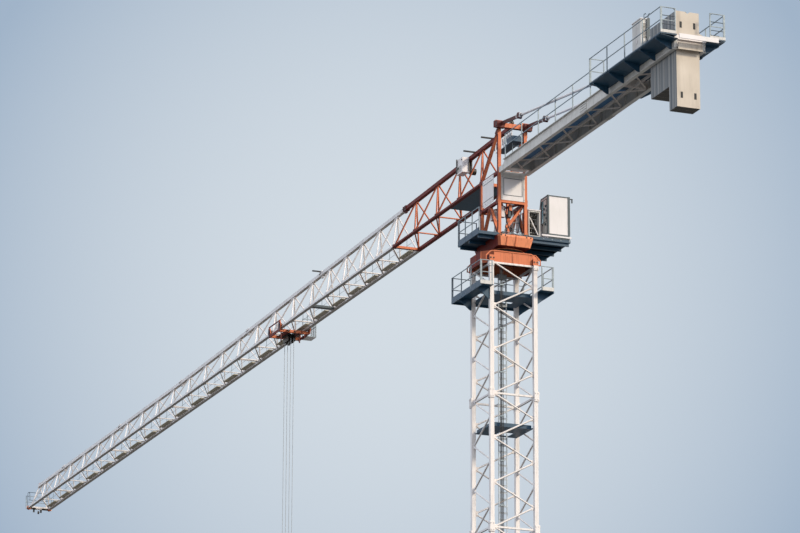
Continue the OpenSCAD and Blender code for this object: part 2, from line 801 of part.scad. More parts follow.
module counterjib_beams() {
  root = 16;
  cut = rear_face - 14;
  slant = 44;
  color(steel_grey) for (s = [-1, 1]) {
    difference() {
      translate([counterjib_end, s * side_y, beam_z]) in_yz(counterjib_len) i_outline(beam_w, beam_h);
      translate([0, s * side_y, 0]) in_xz(beam_w + 2) polygon([
        [cut, beam_bottom - 1], [rear_face + 1, beam_bottom - 1], [rear_face + 1, beam_top + 1],
        [cut - slant, beam_top + 1]
      ]);
    }
    box([cut - 30, s * side_y - 4, beam_bottom + 6], [rear_face, s * side_y + 4, beam_bottom + 30]);
    translate([0, s * side_y, 0]) tie_fork(tie_foot) polygon([
      tie_foot + [-lug_r, 0], [tie_foot.x - root, beam_top - 1], [tie_foot.x + root, beam_top - 1],
      tie_foot + [lug_r, 0]
    ]);
  }
}

slab_gap = 1;
long_front = counterjib_end + 15 + long_slab_count * (long_slab_t + slab_gap);
short_front = long_front + short_slab_count * (short_slab_t + slab_gap);
deck_front = rear_face - 66;
bay = 247;
bay_lean = 149;
bay_count = 6;

// Zigzag bracing, stringer and root member between the webs of the two beams, with the end beam.
module counterjib_bracing() {
  inner = side_y - web_t / 2;
  z = chord_z - 1;
  first = rear_face - 172;
  color(steel_white) {
    box([counterjib_end - 8, -beam_out, beam_bottom + 38], [counterjib_end, beam_out, beam_top + 6]);
    intersection() {
      box([counterjib_end, -inner, beam_bottom + flange_t], [deck_front, inner, beam_top - flange_t]);
      union() {
        for (k = [0:bay_count - 1]) {
          near = [first - k * bay, side_y, z];
          far = [first - (k + 1) * bay + bay_lean, -side_y, z];
          rod(near, far, 8, 8);
          if (k < bay_count - 1) rod(far, near - [bay, 0, 0], 8, 8);
        }
        rod([first + bay_lean, -side_y, z], [first, side_y, z], 8, 8);
        box([short_front + 10, -3, z - 2.5], [deck_front, 3, z + 9]);
        for (x = [deck_front - 12, tie_foot.x - 6, short_front + 4, counterjib_end])
          box([x, -side_y, beam_bottom + 7], [x + 12, side_y, beam_top - 8]);
      }
    }
  }
}

module counterjib_deck() {
  color(steel_blue) box([platform_front, -side_y - 4, beam_top],
                        [deck_front, side_y + 4, beam_top + plate_t]);
}

module counterjib_platforms() {
  bracket_count = 5;
  bracket_t = 5;
  top = beam_top - flange_t;
  step = (platform_len - 80 - bracket_t) / (bracket_count - 1);
  color(steel_blue) for (turn = [0, 1]) mirror([0, turn, 0]) {
    box([platform_rear, beam_out, top - 4], [platform_front, beam_out + platform_w, top + 1.5]);
    for (i = [0:bracket_count - 1])
      translate([platform_rear + 50 + i * step, 0, 0]) in_yz(bracket_t) polygon([
        [beam_out, beam_bottom + 1], [beam_out + 8, beam_bottom + 1], [beam_out + platform_w - 4, top - 12],
        [beam_out + platform_w - 4, top - 3], [beam_out, top - 3]
      ]);
  }
}

module counterjib_railings() {
  out = beam_out + platform_w;
  post_count = 5;
  inner_len = post_count * 181 + rail_post;
  inner_y = side_y + tie_d / 2 + 1;
  color(zinc) for (turn = [0, 1]) mirror([0, turn, 0]) {
    translate([platform_rear, out - rail_post, beam_top - 1]) railing_run(platform_len, 4);
    for (x = [platform_rear + rail_post, platform_front])
      translate([x, beam_out + 4, beam_top - 1]) rotate(90) railing_run(platform_w - 4 - rail_post, 1);
    translate([deck_front - 15 - inner_len, inner_y, beam_top]) railing_run(inner_len, post_count);
  }
}

// Flat links that join the ties to the turret head.
module tie_links() {
  eye_r = 8;
  play = 0.4;
  color(steel_orange) for (s = [-1, 1]) translate([0, s * side_y, 0]) in_xz(tie_t) difference() {
    union() {
      flat_bar(tie_head, tie_joint, tie_h);
      translate(tie_head) circle(r = eye_r, $fn = 48);
    }
    translate(tie_head) circle(r = tie_pin_r + play, $fn = 48);
  }
}

// Round bars of the ties, from the joint block at the link to the eye on the beam.
module tie_bars() {
  eye_r = 8;
  eye_len = 40;
  block_len = 45;
  play = 0.4;
  start = tie_joint + tie_u * (block_len - 1);
  end = tie_foot - tie_u * (eye_len - 1);
  color(steel_grey) for (s = [-1, 1]) translate([0, s * side_y, 0]) {
    in_xz(tie_d + 5) flat_bar(tie_joint, tie_joint + tie_u * block_len, tie_h + 2);
    rod([start.x, 0, start.y], [end.x, 0, end.y], tie_d, 24);
    in_xz(tie_t) difference() {
      union() {
        flat_bar(tie_foot - tie_u * eye_len, tie_foot, tie_h - 2);
        translate(tie_foot) circle(r = eye_r, $fn = 48);
      }
      translate(tie_foot) circle(r = tie_pin_r + play, $fn = 48);
    }
  }
}

// Outline of a counterweight slab in Y and Z, hung by its ears from the two beams.
module slab_outline(height) {
  w = slab_w / 2;
  top = beam_top + slab_up;
  ear = 24;
  slot = [8, 24];
  difference() {
    polygon([
      [-w, top - height], [w, top - height], [w, beam_top], [side_y + 6, beam_top],
      [side_y + 6, beam_top + ear], [w, beam_top + ear + 8], [w, top], [10, top], [0, top - 8],
      [-10, top], [-w, top], [-w, beam_top + ear + 8], [-side_y - 6, beam_top + ear],
      [-side_y - 6, beam_top], [-w, beam_top]
    ]);
    for (z = [top - 57, top - height + 50], y = [-30, 30]) translate([y, z]) square(slot, center = true);
  }
}

module slab_row(x_front, count, height, t) {
  color(concrete) for (i = [0:count - 1])
    translate([x_front - (i + 1) * (t + slab_gap), 0, 0]) in_yz(t) slab_outline(height);
}

module counterweight_short() {
  slab_row(short_front, short_slab_count, short_slab_h, short_slab_t);
}

module counterweight_long() {
  slab_row(long_front, long_slab_count, long_slab_h, long_slab_t);
}

// Rope drum with its flanges on two bearing plates, beside the cabinet.
module hoist_winch() {
  half = 36;
  x = short_front + 18 + half;
  z = beam_top + 68;
  sill = 10;
  y_mid = -14;
  drum = 88;
  color(steel_grey) {
    for (end = [x - half, x + half - 8])
      box([end, -side_y - 8, beam_top], [end + 8, side_y + 8, beam_top + sill]);
    for (y = [y_mid - drum / 2 + 3, y_mid + drum / 2 - 3]) translate([x, y, 0]) in_xz(6)
      polygon([[-half, beam_top + 2], [half, beam_top + 2], [half, beam_top + sill], [14, z + 14],
               [-14, z + 14], [-half, beam_top + sill]]);
    translate([x, y_mid, z]) rotate([90, 0, 0]) cylinder(r = 34, h = drum - 12 + 1, center = true, $fn = 64);
    for (y = [y_mid - drum / 2 + 11, y_mid + drum / 2 - 11]) translate([x, y, z]) rotate([90, 0, 0])
      cylinder(r = 46, h = 4, center = true, $fn = 64);
  }
}

// Tall cabinet on two cross rails, on the left side of the deck.
module winch_cabinet() {
  low = [short_front + 90, 22, beam_top + 3];
  size = [82, 28, 190];
  color(steel_grey) {
    box(low, low + size);
    for (x = [low.x + 6, low.x + size.x - 14])
      box([x, -side_y - 4, beam_top], [x + 8, side_y + 4, beam_top + 4]);
  }
}

wheel_z = rail_top_z + wheel_gap + wheel_r;
wheel_y = side_y + chord_w / 2 + wheel_gap + wheel_w / 2;
plate_y = side_y + chord_w / 2 + jib_rail_w + 4;
frame_top = chord_z - chord_w / 2 - trolley_gap;
frame_h = 14;
side_plate_t = 4;
bar_z = chord_z + 26;

module trolley_frame() {
  half = trolley_len / 2;
  color(steel_orange) translate([trolley_x, 0, 0]) {
    for (s = [-1, 1]) translate([0, s * (plate_y + side_plate_t / 2), 0]) in_xz(side_plate_t) polygon([
      [-half, wheel_z - 6], [-half + 6, wheel_z + 12], [-half + 34, wheel_z + 12],
      [-half + 44, frame_top - 2], [half - 44, frame_top - 2], [half - 34, wheel_z + 12],
      [half - 6, wheel_z + 12], [half, wheel_z - 6], [half - 16, frame_top - frame_h],
      [-half + 16, frame_top - frame_h]
    ]);
    for (x = [-half + 26, half - 38])
      box([x, -plate_y - 1, frame_top - frame_h], [x + 12, plate_y + 1, frame_top]);
    for (y = [-30, 22])
      box([-half + 28, y, frame_top - frame_h + 1], [half - 28, y + 8, frame_top - 1]);
    for (s = [-1, 1]) {
      y = min(s * plate_y, s * (plate_y + side_plate_t));
      for (x = [-half + 14, half - 26])
        box([x, y, wheel_z + 8], [x + 12, y + side_plate_t, bar_z + 5]);
      box([-half + 14, y, bar_z], [half - 14, y + side_plate_t, bar_z + 5]);
    }
  }
}

module trolley_wheels() {
  half = trolley_len / 2;
  color(dark) for (x = [-half + 20, half - 20], s = [-1, 1])
    translate([trolley_x + x, s * wheel_y, wheel_z]) rotate([90, 0, 0]) {
      cylinder(r = wheel_r, h = wheel_w, center = true, $fn = 48);
      translate([0, 0, s > 0 ? -(plate_y - wheel_y) : 0]) cylinder(r = 3, h = plate_y - wheel_y, $fn = 32);
    }
}

fall_x = 45;
fall_y = 8;
rope_play = 0.2;

// Two sheaves side by side on one axle, which lies along Z here.
module sheave_pair() {
  for (y = [-1, 1]) translate([0, 0, y * fall_y])
    cylinder(r = sheave_r - rope_d / 2 - rope_play, h = 5, center = true, $fn = 64);
}

module trolley_sheaves() {
  z = frame_top - frame_h - sheave_r - 4;
  color(dark) translate([trolley_x, 0, 0]) {
    box([-31, -22, frame_top - frame_h + 1], [31, 22, frame_top - frame_h + 5]);
    for (x = [-1, 1]) translate([x * (fall_x - sheave_r), 0, z]) rotate([90, 0, 0]) {
      sheave_pair();
      cylinder(r = 4, h = 40, center = true, $fn = 32);
    }
    for (y = [-18, 18]) translate([0, y, 0]) in_xz(4)
      polygon([[-36, z - 8], [36, z - 8], [36, z + 10], [20, frame_top - frame_h + 3],
               [-20, frame_top - frame_h + 3], [-36, z + 10]]);
  }
}

module trolley_basket() {
  y1 = -plate_y - side_plate_t;
  y0 = y1 - 50;
  z = frame_top - frame_h - 2;
  color(steel_grey) translate([trolley_x, 0, 0]) {
    box([-36, y0, z], [36, y1, z + plate_t]);
    translate([-36, y0, z + plate_t]) railing_run(72, 2);
    for (x = [-36, 36 - rail_post])
      translate([x + rail_post, y0, z + plate_t]) rotate(90) railing_run(50, 1);
  }
}

fall_top = frame_top - frame_h - sheave_r - 4;

module hoist_ropes() {
  color(dark) translate([trolley_x, 0, 0]) for (x = [-1, 1], y = [-1, 1])
    translate([x * fall_x, y * fall_y, fall_top - fall_len])
      cylinder(d = rope_d, h = fall_len, $fn = 24);
}

// Lower block with its two side plates, four sheaves and the hook under them.
module hook_block() {
  z = fall_top - fall_len;
  color(dark) translate([trolley_x, 0, z]) {
    for (y = [-1, 1]) translate([0, y * 14, 0]) in_xz(5)
      polygon([[-56, 6], [56, 6], [56, -16], [20, -52], [-20, -52], [-56, -16]]);
    for (x = [-1, 1]) translate([x * (fall_x - sheave_r), 0, 0]) rotate([90, 0, 0]) {
      sheave_pair();
      cylinder(r = 4, h = 36, center = true, $fn = 32);
    }
    box([-18, -16, -58], [18, 16, -44]);
    translate([0, 0, -76]) cylinder(r = 7, h = 20, $fn = 32);
  }
  color(steel_orange) translate([trolley_x, 0, z - 100]) rotate([90, 0, 0]) {
    rotate(-210) rotate_extrude(angle = 300, $fn = 64) translate([20, 0]) circle(r = 6, $fn = 32);
  }
}

foot_frame();
mast_leg(1, 1);  // mast_leg_front_left
mast_leg(1, -1);  // mast_leg_front_right
mast_leg(-1, 1);  // mast_leg_rear_left
mast_leg(-1, -1);  // mast_leg_rear_right
mast_lacing();  // mast_lacing_right
rotate(90) mast_lacing();  // mast_lacing_front
rotate(180) mast_lacing();  // mast_lacing_left
rotate(270) mast_lacing();  // mast_lacing_rear
mast_ladder();
mast_landings();
supply_cable();
collar_platform();
collar_railing();
ring_support();
slewing_ring();
turntable();
turret_side(1);  // turret_side_left
turret_side(-1);  // turret_side_right
turret_braces();
turret_head();
head_platform();
turret_panels();
slew_motors();
slewing_platform_left();
slewing_platform_right();
slewing_railings();
cab_body();
cab_glass();
control_cabinet();
jib_section(0);  // jib_section_1
jib_section(1);  // jib_section_2
jib_section(2);  // jib_section_3
jib_section(3);  // jib_section_4
jib_section(4);  // jib_section_5
jib_section(5);  // jib_section_6
jib_section(6);  // jib_section_7
jib_tip();
jib_tip_railing();
jib_walkway();
jib_root_deck();
trolley_winch();
counterjib_beams();
counterjib_bracing();
counterjib_deck();
counterjib_platforms();
counterjib_railings();
tie_links();
tie_bars();
counterweight_short();
counterweight_long();
hoist_winch();
winch_cabinet();
trolley_frame();
trolley_wheels();
trolley_sheaves();
trolley_basket();
hoist_ropes();
hook_block();
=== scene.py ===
# %% [markdown]
# # Dressing a flat-top tower crane
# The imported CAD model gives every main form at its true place: a square lattice mast, the
# slewing turret, a lattice jib with its trolley, and the counter-jib with concrete slabs.
# This script keeps those solids as they are, gives each its finish, and adds the small
# things a steelwork shop would add: bolts, pins, grating, hoses, louvres and ropes.
# Everything stays in the frame of the CAD model, which is a 1:10 scale model.

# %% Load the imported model
import math

import bpy
import numpy as np
from mathutils import Matrix, Vector


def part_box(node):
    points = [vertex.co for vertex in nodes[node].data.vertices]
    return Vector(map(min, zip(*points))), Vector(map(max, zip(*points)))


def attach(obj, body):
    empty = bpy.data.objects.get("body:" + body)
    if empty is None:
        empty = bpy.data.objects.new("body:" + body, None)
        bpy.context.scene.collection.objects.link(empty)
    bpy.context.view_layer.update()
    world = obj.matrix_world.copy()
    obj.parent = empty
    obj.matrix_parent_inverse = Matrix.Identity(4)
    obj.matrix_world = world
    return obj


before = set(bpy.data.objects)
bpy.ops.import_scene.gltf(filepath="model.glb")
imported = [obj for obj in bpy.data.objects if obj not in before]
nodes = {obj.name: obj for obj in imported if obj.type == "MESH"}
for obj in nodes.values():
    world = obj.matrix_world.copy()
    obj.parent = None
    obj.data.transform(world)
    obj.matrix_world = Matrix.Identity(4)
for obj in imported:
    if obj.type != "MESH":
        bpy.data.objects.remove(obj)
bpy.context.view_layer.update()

# %% [markdown]
# ## Measures
# Later cells place their pieces by the CAD nodes' own corners, so nothing has to be fitted
# by eye and a change in the CAD model moves the dressing with it. Places are written in
# millimetres of the scale model, as in the CAD source.

# %% Corners of the CAD nodes
MM = 0.001
UP = Vector((0, 0, 1))
SIDES = (-1, 1)
CORNERS = [(sx, sy) for sx in SIDES for sy in SIDES]


def corners(*names):
    """Lowest and highest corner of some CAD nodes together, in model millimetres."""
    boxes = [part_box(n) for n in names]
    low = [min(b[0][i] for b in boxes) / MM for i in range(3)]
    high = [max(b[1][i] for b in boxes) / MM for i in range(3)]
    return Vector(low), Vector(high)


mast_low, mast_high = corners("mast_leg_rear_left", "mast_leg_front_right", "mast_leg_rear_right",
                              "mast_leg_front_left")
print("mast top", round(mast_high.z), "mm, jib reaches", round(corners("jib_tip")[1].x), "mm")

# %% [markdown]
# ## Camera
# The picture was taken from the ground behind and left of the crane with a long lens. The
# place, the direction and the focal length were solved from the mast's legs and section
# joints, whose real distances are known, so the render lines up with the photograph.

# %% Camera at the photograph's place
EYE = Vector((-15.5155, 6.6253, -1.2865))
YAW, PITCH, ROLL = -0.376607, 0.282748, 0.004003
FOCAL_PX, PICTURE_W, SENSOR = 4004.0, 800, 36.0

look = Vector((math.cos(YAW) * math.cos(PITCH), math.sin(YAW) * math.cos(PITCH), math.sin(PITCH)))
flat_right = Vector((math.sin(YAW), -math.cos(YAW), 0))
flat_up = flat_right.cross(look)
right = flat_right * math.cos(ROLL) + flat_up * math.sin(ROLL)
up = flat_up * math.cos(ROLL) - flat_right * math.sin(ROLL)
lens = bpy.data.cameras.new("camera")
lens.sensor_fit, lens.sensor_width = "HORIZONTAL", SENSOR
lens.lens = FOCAL_PX / PICTURE_W * SENSOR
lens.clip_end = 200
camera = bpy.data.objects.new("camera", lens)
camera.matrix_world = Matrix((
    (right.x, up.x, -look.x, EYE.x),
    (right.y, up.y, -look.y, EYE.y),
    (right.z, up.z, -look.z, EYE.z),
    (0, 0, 0, 1),
))
bpy.context.scene.collection.objects.link(camera)
bpy.context.scene.camera = camera
print("lens", round(lens.lens, 1), "mm")

# %% [markdown]
# ## Helpers for shader and geometry nodes
# A node tree is easier to read when every node is one line: its kind, what goes into its
# sockets, and its own settings. Colours are written as the hex values a paint chart gives,
# and one function turns them into the linear numbers that the renderer works with. Four
# steps come back in most materials, so they are functions as well: an empty material, noise
# in clouds, a value that follows another, and a blend of two tones.

# %% Node helper and colour helper
def add(tree, kind, sockets=None, **settings):
    """Adds a node. A socket takes a value or another node's output."""
    made = tree.nodes.new(kind)
    for name, value in settings.items():
        setattr(made, name, value)
    for name, value in (sockets or {}).items():
        socket = made.inputs[name]
        if isinstance(value, bpy.types.NodeSocket):
            tree.links.new(value, socket)
        else:
            socket.default_value = value
    return made


def linear(code):
    """Linear RGBA of an sRGB hex colour."""
    parts = [int(code[i:i + 2], 16) / 255 for i in (1, 3, 5)]
    return [p / 12.92 if p <= 0.04045 else ((p + 0.055) / 1.055) ** 2.4 for p in parts] + [1.0]


print("linear value of #808080", round(linear("#808080")[0], 3))

# %% Material helpers
def empty_material(name):
    """A material without nodes, its tree, and the socket for a place on the object."""
    material = bpy.data.materials.new(name)
    material.use_nodes = True
    tree = material.node_tree
    tree.nodes.clear()
    return material, tree, add(tree, "ShaderNodeTexCoord").outputs["Object"]


def clouds(tree, place, size_mm, detail=2.0, rough=0.5):
    """Noise whose clouds are about so many millimetres wide."""
    return add(tree, "ShaderNodeTexNoise", {"Vector": place, "Scale": 1 / (size_mm * MM), "Detail": detail,
                                            "Roughness": rough}).outputs[0]


def climb(tree, source, start, end, low=0.0, high=1.0):
    """A value that goes from low to high while its source goes from start to end."""
    return add(tree, "ShaderNodeMapRange", {"Value": source, "From Min": start, "From Max": end,
                                            "To Min": low, "To Max": high}).outputs[0]


def blend(tree, share, first, second):
    """A colour between two, each given as a hex value or as another node's socket."""
    first, second = [linear(c) if isinstance(c, str) else c for c in (first, second)]
    return add(tree, "ShaderNodeMix", {0: share, 6: first, 7: second}, data_type="RGBA").outputs[2]


print("a noise of 70 mm has scale", round(1 / (70 * MM), 2))

# %% [markdown]
# ## World, light and floor
# The day in the photograph is bright but hazy: a pale blue-grey sky, and a soft sun behind the
# camera's right shoulder. A sky texture could give both, but its blue is too deep for haze. So
# the backdrop that the camera sees is a plain mix of two greys, lighter at the middle of the view
# and darker towards its edges, which is a painted vignette. The light is a second mix, of a bright
# sky above and a dark ground below.

# %% Hazy sky
VIGNETTE_CENTRE = (0.8945, -0.3538, 0.2734)
world = bpy.data.worlds.new("hazy sky")
bpy.context.scene.world = world
world.use_nodes = True
sky = world.node_tree
sky.nodes.clear()
heading = add(sky, "ShaderNodeTexCoord").outputs["Generated"]
# Painted vignette: the backdrop is lighter round the middle of the view and darker towards its edges.
nearness = add(sky, "ShaderNodeVectorMath", {0: heading, 1: VIGNETTE_CENTRE}, operation="DOT_PRODUCT")
vignetted_haze = blend(sky, climb(sky, nearness.outputs["Value"], 0.9930, 1.0), "#A1B4C9", "#D3DCE4")
backdrop = add(sky, "ShaderNodeBackground", {"Color": vignetted_haze, "Strength": 1.0})
height = add(sky, "ShaderNodeSeparateXYZ", {0: heading}).outputs["Z"]
dome = blend(sky, climb(sky, height, 0.1, 1.0), "#E6ECF5", "#A5B1C0")
surround = blend(sky, climb(sky, height, -0.06, 0.08), "#5E5D5A", dome)
fill = add(sky, "ShaderNodeBackground", {"Color": surround, "Strength": 1.6})
seen = add(sky, "ShaderNodeLightPath")
both = add(sky, "ShaderNodeMixShader", {0: seen.outputs["Is Camera Ray"], 1: fill.outputs[0],
                                        2: backdrop.outputs[0]})
add(sky, "ShaderNodeOutputWorld", {"Surface": both.outputs[0]})
bpy.context.scene.view_settings.view_transform = "Standard"
print("sky nodes", len(sky.nodes))

# %% [markdown]
# One sun lamp, ten degrees wide as behind haze, warms the rear sides and draws soft shadows.
# The floor is a finite round disc, small enough to stay out of the camera's way.

# %% Sun and floor
FLOOR_RADIUS, FLOOR_DROP, RIM_POINTS = 8.5, -0.0005, 96
sun_from = Vector((-0.68, -0.55, 0.48)).normalized()
sun_data = bpy.data.lights.new("hazy sun", "SUN")
sun_data.energy, sun_data.angle = 2.85, math.radians(10)
sun_data.color = linear("#FFF1DA")[:3]
sun = bpy.data.objects.new("hazy sun", sun_data)
sun.rotation_euler = sun_from.to_track_quat("Z", "Y").to_euler()
bpy.context.scene.collection.objects.link(sun)

rim_angles = [math.tau * k / RIM_POINTS for k in range(RIM_POINTS)]
rim = [(FLOOR_RADIUS * math.cos(a), FLOOR_RADIUS * math.sin(a), FLOOR_DROP) for a in rim_angles]
floor_mesh = bpy.data.meshes.new("floor")
floor_mesh.from_pydata(rim, [], [list(range(RIM_POINTS))])
floor = bpy.data.objects.new("floor", floor_mesh)
bpy.context.scene.collection.objects.link(floor)
floor_paint = bpy.data.materials.new("grey matt floor")
floor_paint.use_nodes = True
floor_coat = floor_paint.node_tree.nodes["Principled BSDF"]
floor_coat.inputs["Base Color"].default_value = linear("#6B6B69")
floor_coat.inputs["Roughness"].default_value = 0.9
floor_mesh.materials.append(floor_paint)
print("sun from", [round(c, 2) for c in sun_from], "floor radius", FLOOR_RADIUS, "m")

# %% [markdown]
# ## Paint on steel
# Cranes are sprayed with a thick satin enamel that fades and chalks in patches, and rain
# draws dirt down from every joint. One flat colour would look like plastic, and painted
# image maps need a picture for every solid, so noise patterns in real millimetres do the
# work in one principled shader. Its colour moves between a fresh and a faded tone. Faces
# that look back towards the sun take a lighter tone, which is painted sunlight, while the
# left sides keep a deeper tone, which is painted shade. Grime runs down in long streaks, so
# their pattern is stretched along Z, and undersides darken towards the grime tone, which is
# painted shade. The real grain of sprayed paint is far too fine to show, so it is drawn
# 3 mm coarse.

# %% Sprayed enamel
# Faces turned this way, roughly towards the sun, get the painted sunlit tone.
PAINTED_LIT_SIDE = (-0.9, -0.5, 0.1)
STREAK_MM, STREAK_SQUEEZE, GRAIN_MM = 14, 0.09, 3


def painted_steel(name, fresh, faded, grime_and_shade_tone, patch_mm, rough, grime_share, sunlit_tone=None, gloss=1.42,
                  underside_shade=0.0):
    """Enamel of four tones: fresh, faded, grime for streaks and painted underside shade, and a painted sunlit
    tone.
    """
    paint, tree, place = empty_material(name)
    facing = place.node.outputs["Normal"]
    patches = clouds(tree, place, patch_mm, 5.0, 0.62)
    coat = blend(tree, climb(tree, patches, 0.34, 0.68), fresh, faded)
    # Painted light: faces towards the sun take the sunlit tone, the others keep the darker coat as painted
    # shade.
    if sunlit_tone:
        sunny = add(tree, "ShaderNodeVectorMath", {0: facing, 1: PAINTED_LIT_SIDE}, operation="DOT_PRODUCT")
        coat = blend(tree, climb(tree, sunny.outputs["Value"], 0.0, 0.55), coat, sunlit_tone)
    # Painted shade: faces that look down darken towards the grime tone.
    if underside_shade:
        below = add(tree, "ShaderNodeSeparateXYZ", {0: facing}).outputs["Z"]
        coat = blend(tree, climb(tree, below, -0.5, -0.9, 0.0, underside_shade), coat, grime_and_shade_tone)
    runs = add(tree, "ShaderNodeMapping", {"Vector": place, "Scale": (1.0, 1.0, STREAK_SQUEEZE)})
    streaks = clouds(tree, runs.outputs[0], STREAK_MM, 4.0, 0.7)
    worn = blend(tree, climb(tree, streaks, 0.52, 0.80, 0.0, grime_share), coat, grime_and_shade_tone)
    grain = clouds(tree, place, GRAIN_MM, 3.0)
    ripple = add(tree, "ShaderNodeBump", {"Height": grain, "Strength": 0.12, "Distance": 0.15 * MM})
    sheen = climb(tree, patches, 0.0, 1.0, rough - 0.08, rough + 0.12)
    coated = add(tree, "ShaderNodeBsdfPrincipled", {"Base Color": worn, "Roughness": sheen, "IOR": gloss,
                                                    "Normal": ripple.outputs[0]})
    add(tree, "ShaderNodeOutputMaterial", {"Surface": coated.outputs[0]})
    return paint


# Whites and reds. A row gives fresh, faded, grime and shade tone, patch width, roughness,
# streak share and the painted sunlit tone.
# The lattice: chalky warm white with brown dirt in long runs, painted shade on its undersides
# and a slightly warmer painted sunlit tone.
white_enamel = painted_steel("chalky warm white enamel", "#E4E0E1", "#D6D1D1", "#75685A",
                             70, 0.52, 0.45, "#E6DEDA", underside_shade=0.6)
# Turret and jib root: a dark brown red on the faces away from the sun, which is painted shade,
# and salmon on the faces towards the sun, which is painted sunlight.
orange_enamel = painted_steel("orange red enamel with painted sunlight", "#6E1F19", "#64241F", "#331614",
                              55, 0.62, 0.50, "#D67D58", gloss=1.3)
# Turntable: the same coat with a brighter painted sunlit tone, which lights its leaning casing more.
pale_orange_enamel = painted_steel("pale orange enamel", "#6E1F19", "#64241F", "#331614",
                                   55, 0.62, 0.40, "#F59A70", gloss=1.3)
# Fork ends and links of the ties: the deep oxide red of a newer coat, a little lighter on faces
# towards the sun, which is painted sunlight.
oxide_enamel = painted_steel("deep oxide red enamel", "#5A2420", "#4A2422", "#2A1614",
                             40, 0.55, 0.40, "#63302A", gloss=1.3)
# Cab and cabinets: a smoother, cooler and cleaner white.
panel_enamel = painted_steel("smooth panel white enamel", "#E3DCDD", "#DAD5D4", "#A39C96", 140, 0.42, 0.25)
print("whites and reds", white_enamel.name, orange_enamel.name, panel_enamel.name)

# %% Blues and greys
# Decks and landings: a dark blue gloss, dusty on top.
blue_enamel = painted_steel("dusty dark blue enamel", "#173B54", "#22485F", "#454D50", 50, 0.45, 0.40)
# Underside sheets of the counter-jib deck: a clearer, brighter blue.
sheet_enamel = painted_steel("clear blue sheet enamel", "#4C82B4", "#44739E", "#3B454D", 60, 0.45, 0.35)
# Counter-jib beams and cabinets: a cool light grey with a satin sheen.
grey_enamel = painted_steel("satin light grey enamel", "#D2CFCB", "#BFBCB8", "#6F6A64", 80, 0.48, 0.45)
# Corner posts of the cab, brackets and gate frames: a dark slate grey.
slate_enamel = painted_steel("dark slate enamel", "#3A464D", "#4A555B", "#2B2E30", 60, 0.45, 0.30)
print("blues and greys", blue_enamel.name, sheet_enamel.name, grey_enamel.name, slate_enamel.name)

# %% [markdown]
# ## Zinc, greased steel, rope and rubber
# Railings and ladders are hot-dip galvanised: a dull metal broken into crystals. Ring,
# wheels and sheaves are dark with grease, and ropes show the pitch of their strands. All
# are one recipe, two tones in cells or clouds, so one function makes them. The spangle of
# zinc on a 1:10 model would be under a millimetre wide and is drawn 8 mm coarse here.

# %% Metals and rubber
def bare_surface(name, tones, cell_mm, metallic, rough, voronoi=False, stretch=(1, 1, 1)):
    """A surface whose colour moves between two tones in cells or clouds."""
    skin, tree, place = empty_material(name)
    turned = add(tree, "ShaderNodeMapping", {"Vector": place, "Scale": stretch}).outputs[0]
    kind = "ShaderNodeTexVoronoi" if voronoi else "ShaderNodeTexNoise"
    cells = add(tree, kind, {"Vector": turned, "Scale": 1 / (cell_mm * MM)})
    share = cells.outputs["Color"] if voronoi else cells.outputs[0]
    tone = blend(tree, add(tree, "ShaderNodeRGBToBW", {0: share}).outputs[0], *tones)
    relief = add(tree, "ShaderNodeBump", {"Height": cells.outputs[0], "Strength": 0.3,
                                          "Distance": 0.2 * MM})
    shade = add(tree, "ShaderNodeBsdfPrincipled", {
        "Base Color": tone, "Metallic": metallic, "Roughness": rough,
        "Normal": relief.outputs[0]})
    add(tree, "ShaderNodeOutputMaterial", {"Surface": shade.outputs[0]})
    return skin


# Hot-dip zinc: a dull, bluish grey, broken into crystals.
zinc = bare_surface("hot-dip zinc", ("#6E787F", "#8C969C"), 8, 0.45, 0.55, voronoi=True)
# Newer zinc of the mast's ladder: the same crystals, paler and whitish.
pale_zinc = bare_surface("pale ladder zinc", ("#A4ABB0", "#BEC3C6"), 8, 0.2, 0.5, voronoi=True)
# Walkway grating: zinc under brown dust, nearly matt.
dusty_zinc = bare_surface("dusty walkway zinc", ("#A79E8C", "#BFB6A4"), 8, 0.15, 0.7, voronoi=True)
# Greased steel of ring, sheaves and wheels: nearly black, a little gloss.
greased_steel = bare_surface("greased dark steel", ("#26231F", "#4A443D"), 12, 0.5, 0.42)
# Drawn wire rope of the four falls: bright from its work, its strands squeezed along Z.
worn_rope = bare_surface("bright worn wire rope", ("#8B9197", "#B4B9BD"), 3, 0.3, 0.5, stretch=(1, 1, 0.5))
# The same rope wound on the drum, still in its black grease.
wire_rope = bare_surface("greased wire rope", ("#3C3935", "#79746C"), 3, 0.6, 0.45, stretch=(1, 1, 0.5))
# Moulded rubber sheath of the supply cable: black and matt.
rubber = bare_surface("matt rubber sheath", ("#1B1B1C", "#2C2C2D"), 20, 0.0, 0.7)
print("bare surfaces", zinc.name, greased_steel.name, worn_rope.name, rubber.name)

# %% [markdown]
# ## Cab glass
# Cab windows are toughened, faintly tinted glass with a film of dust. Pure transmission
# would make them vanish against the sky, so the dust roughens them in soft clouds.

# %% Window glass
glass = bpy.data.materials.new("tinted toughened glass")
glass.use_nodes = True
clear = glass.node_tree
pane = clear.nodes["Principled BSDF"]
pane.inputs["Base Color"].default_value = linear("#9FB4B8")
pane.inputs["Roughness"].default_value = 0.04
pane.inputs["IOR"].default_value = 1.52
pane.inputs["Transmission Weight"].default_value = 0.85
place = add(clear, "ShaderNodeTexCoord").outputs["Object"]
clear.links.new(climb(clear, clouds(clear, place, 40), 0.0, 1.0, 0.02, 0.16), pane.inputs["Roughness"])
print("glass", glass.name)
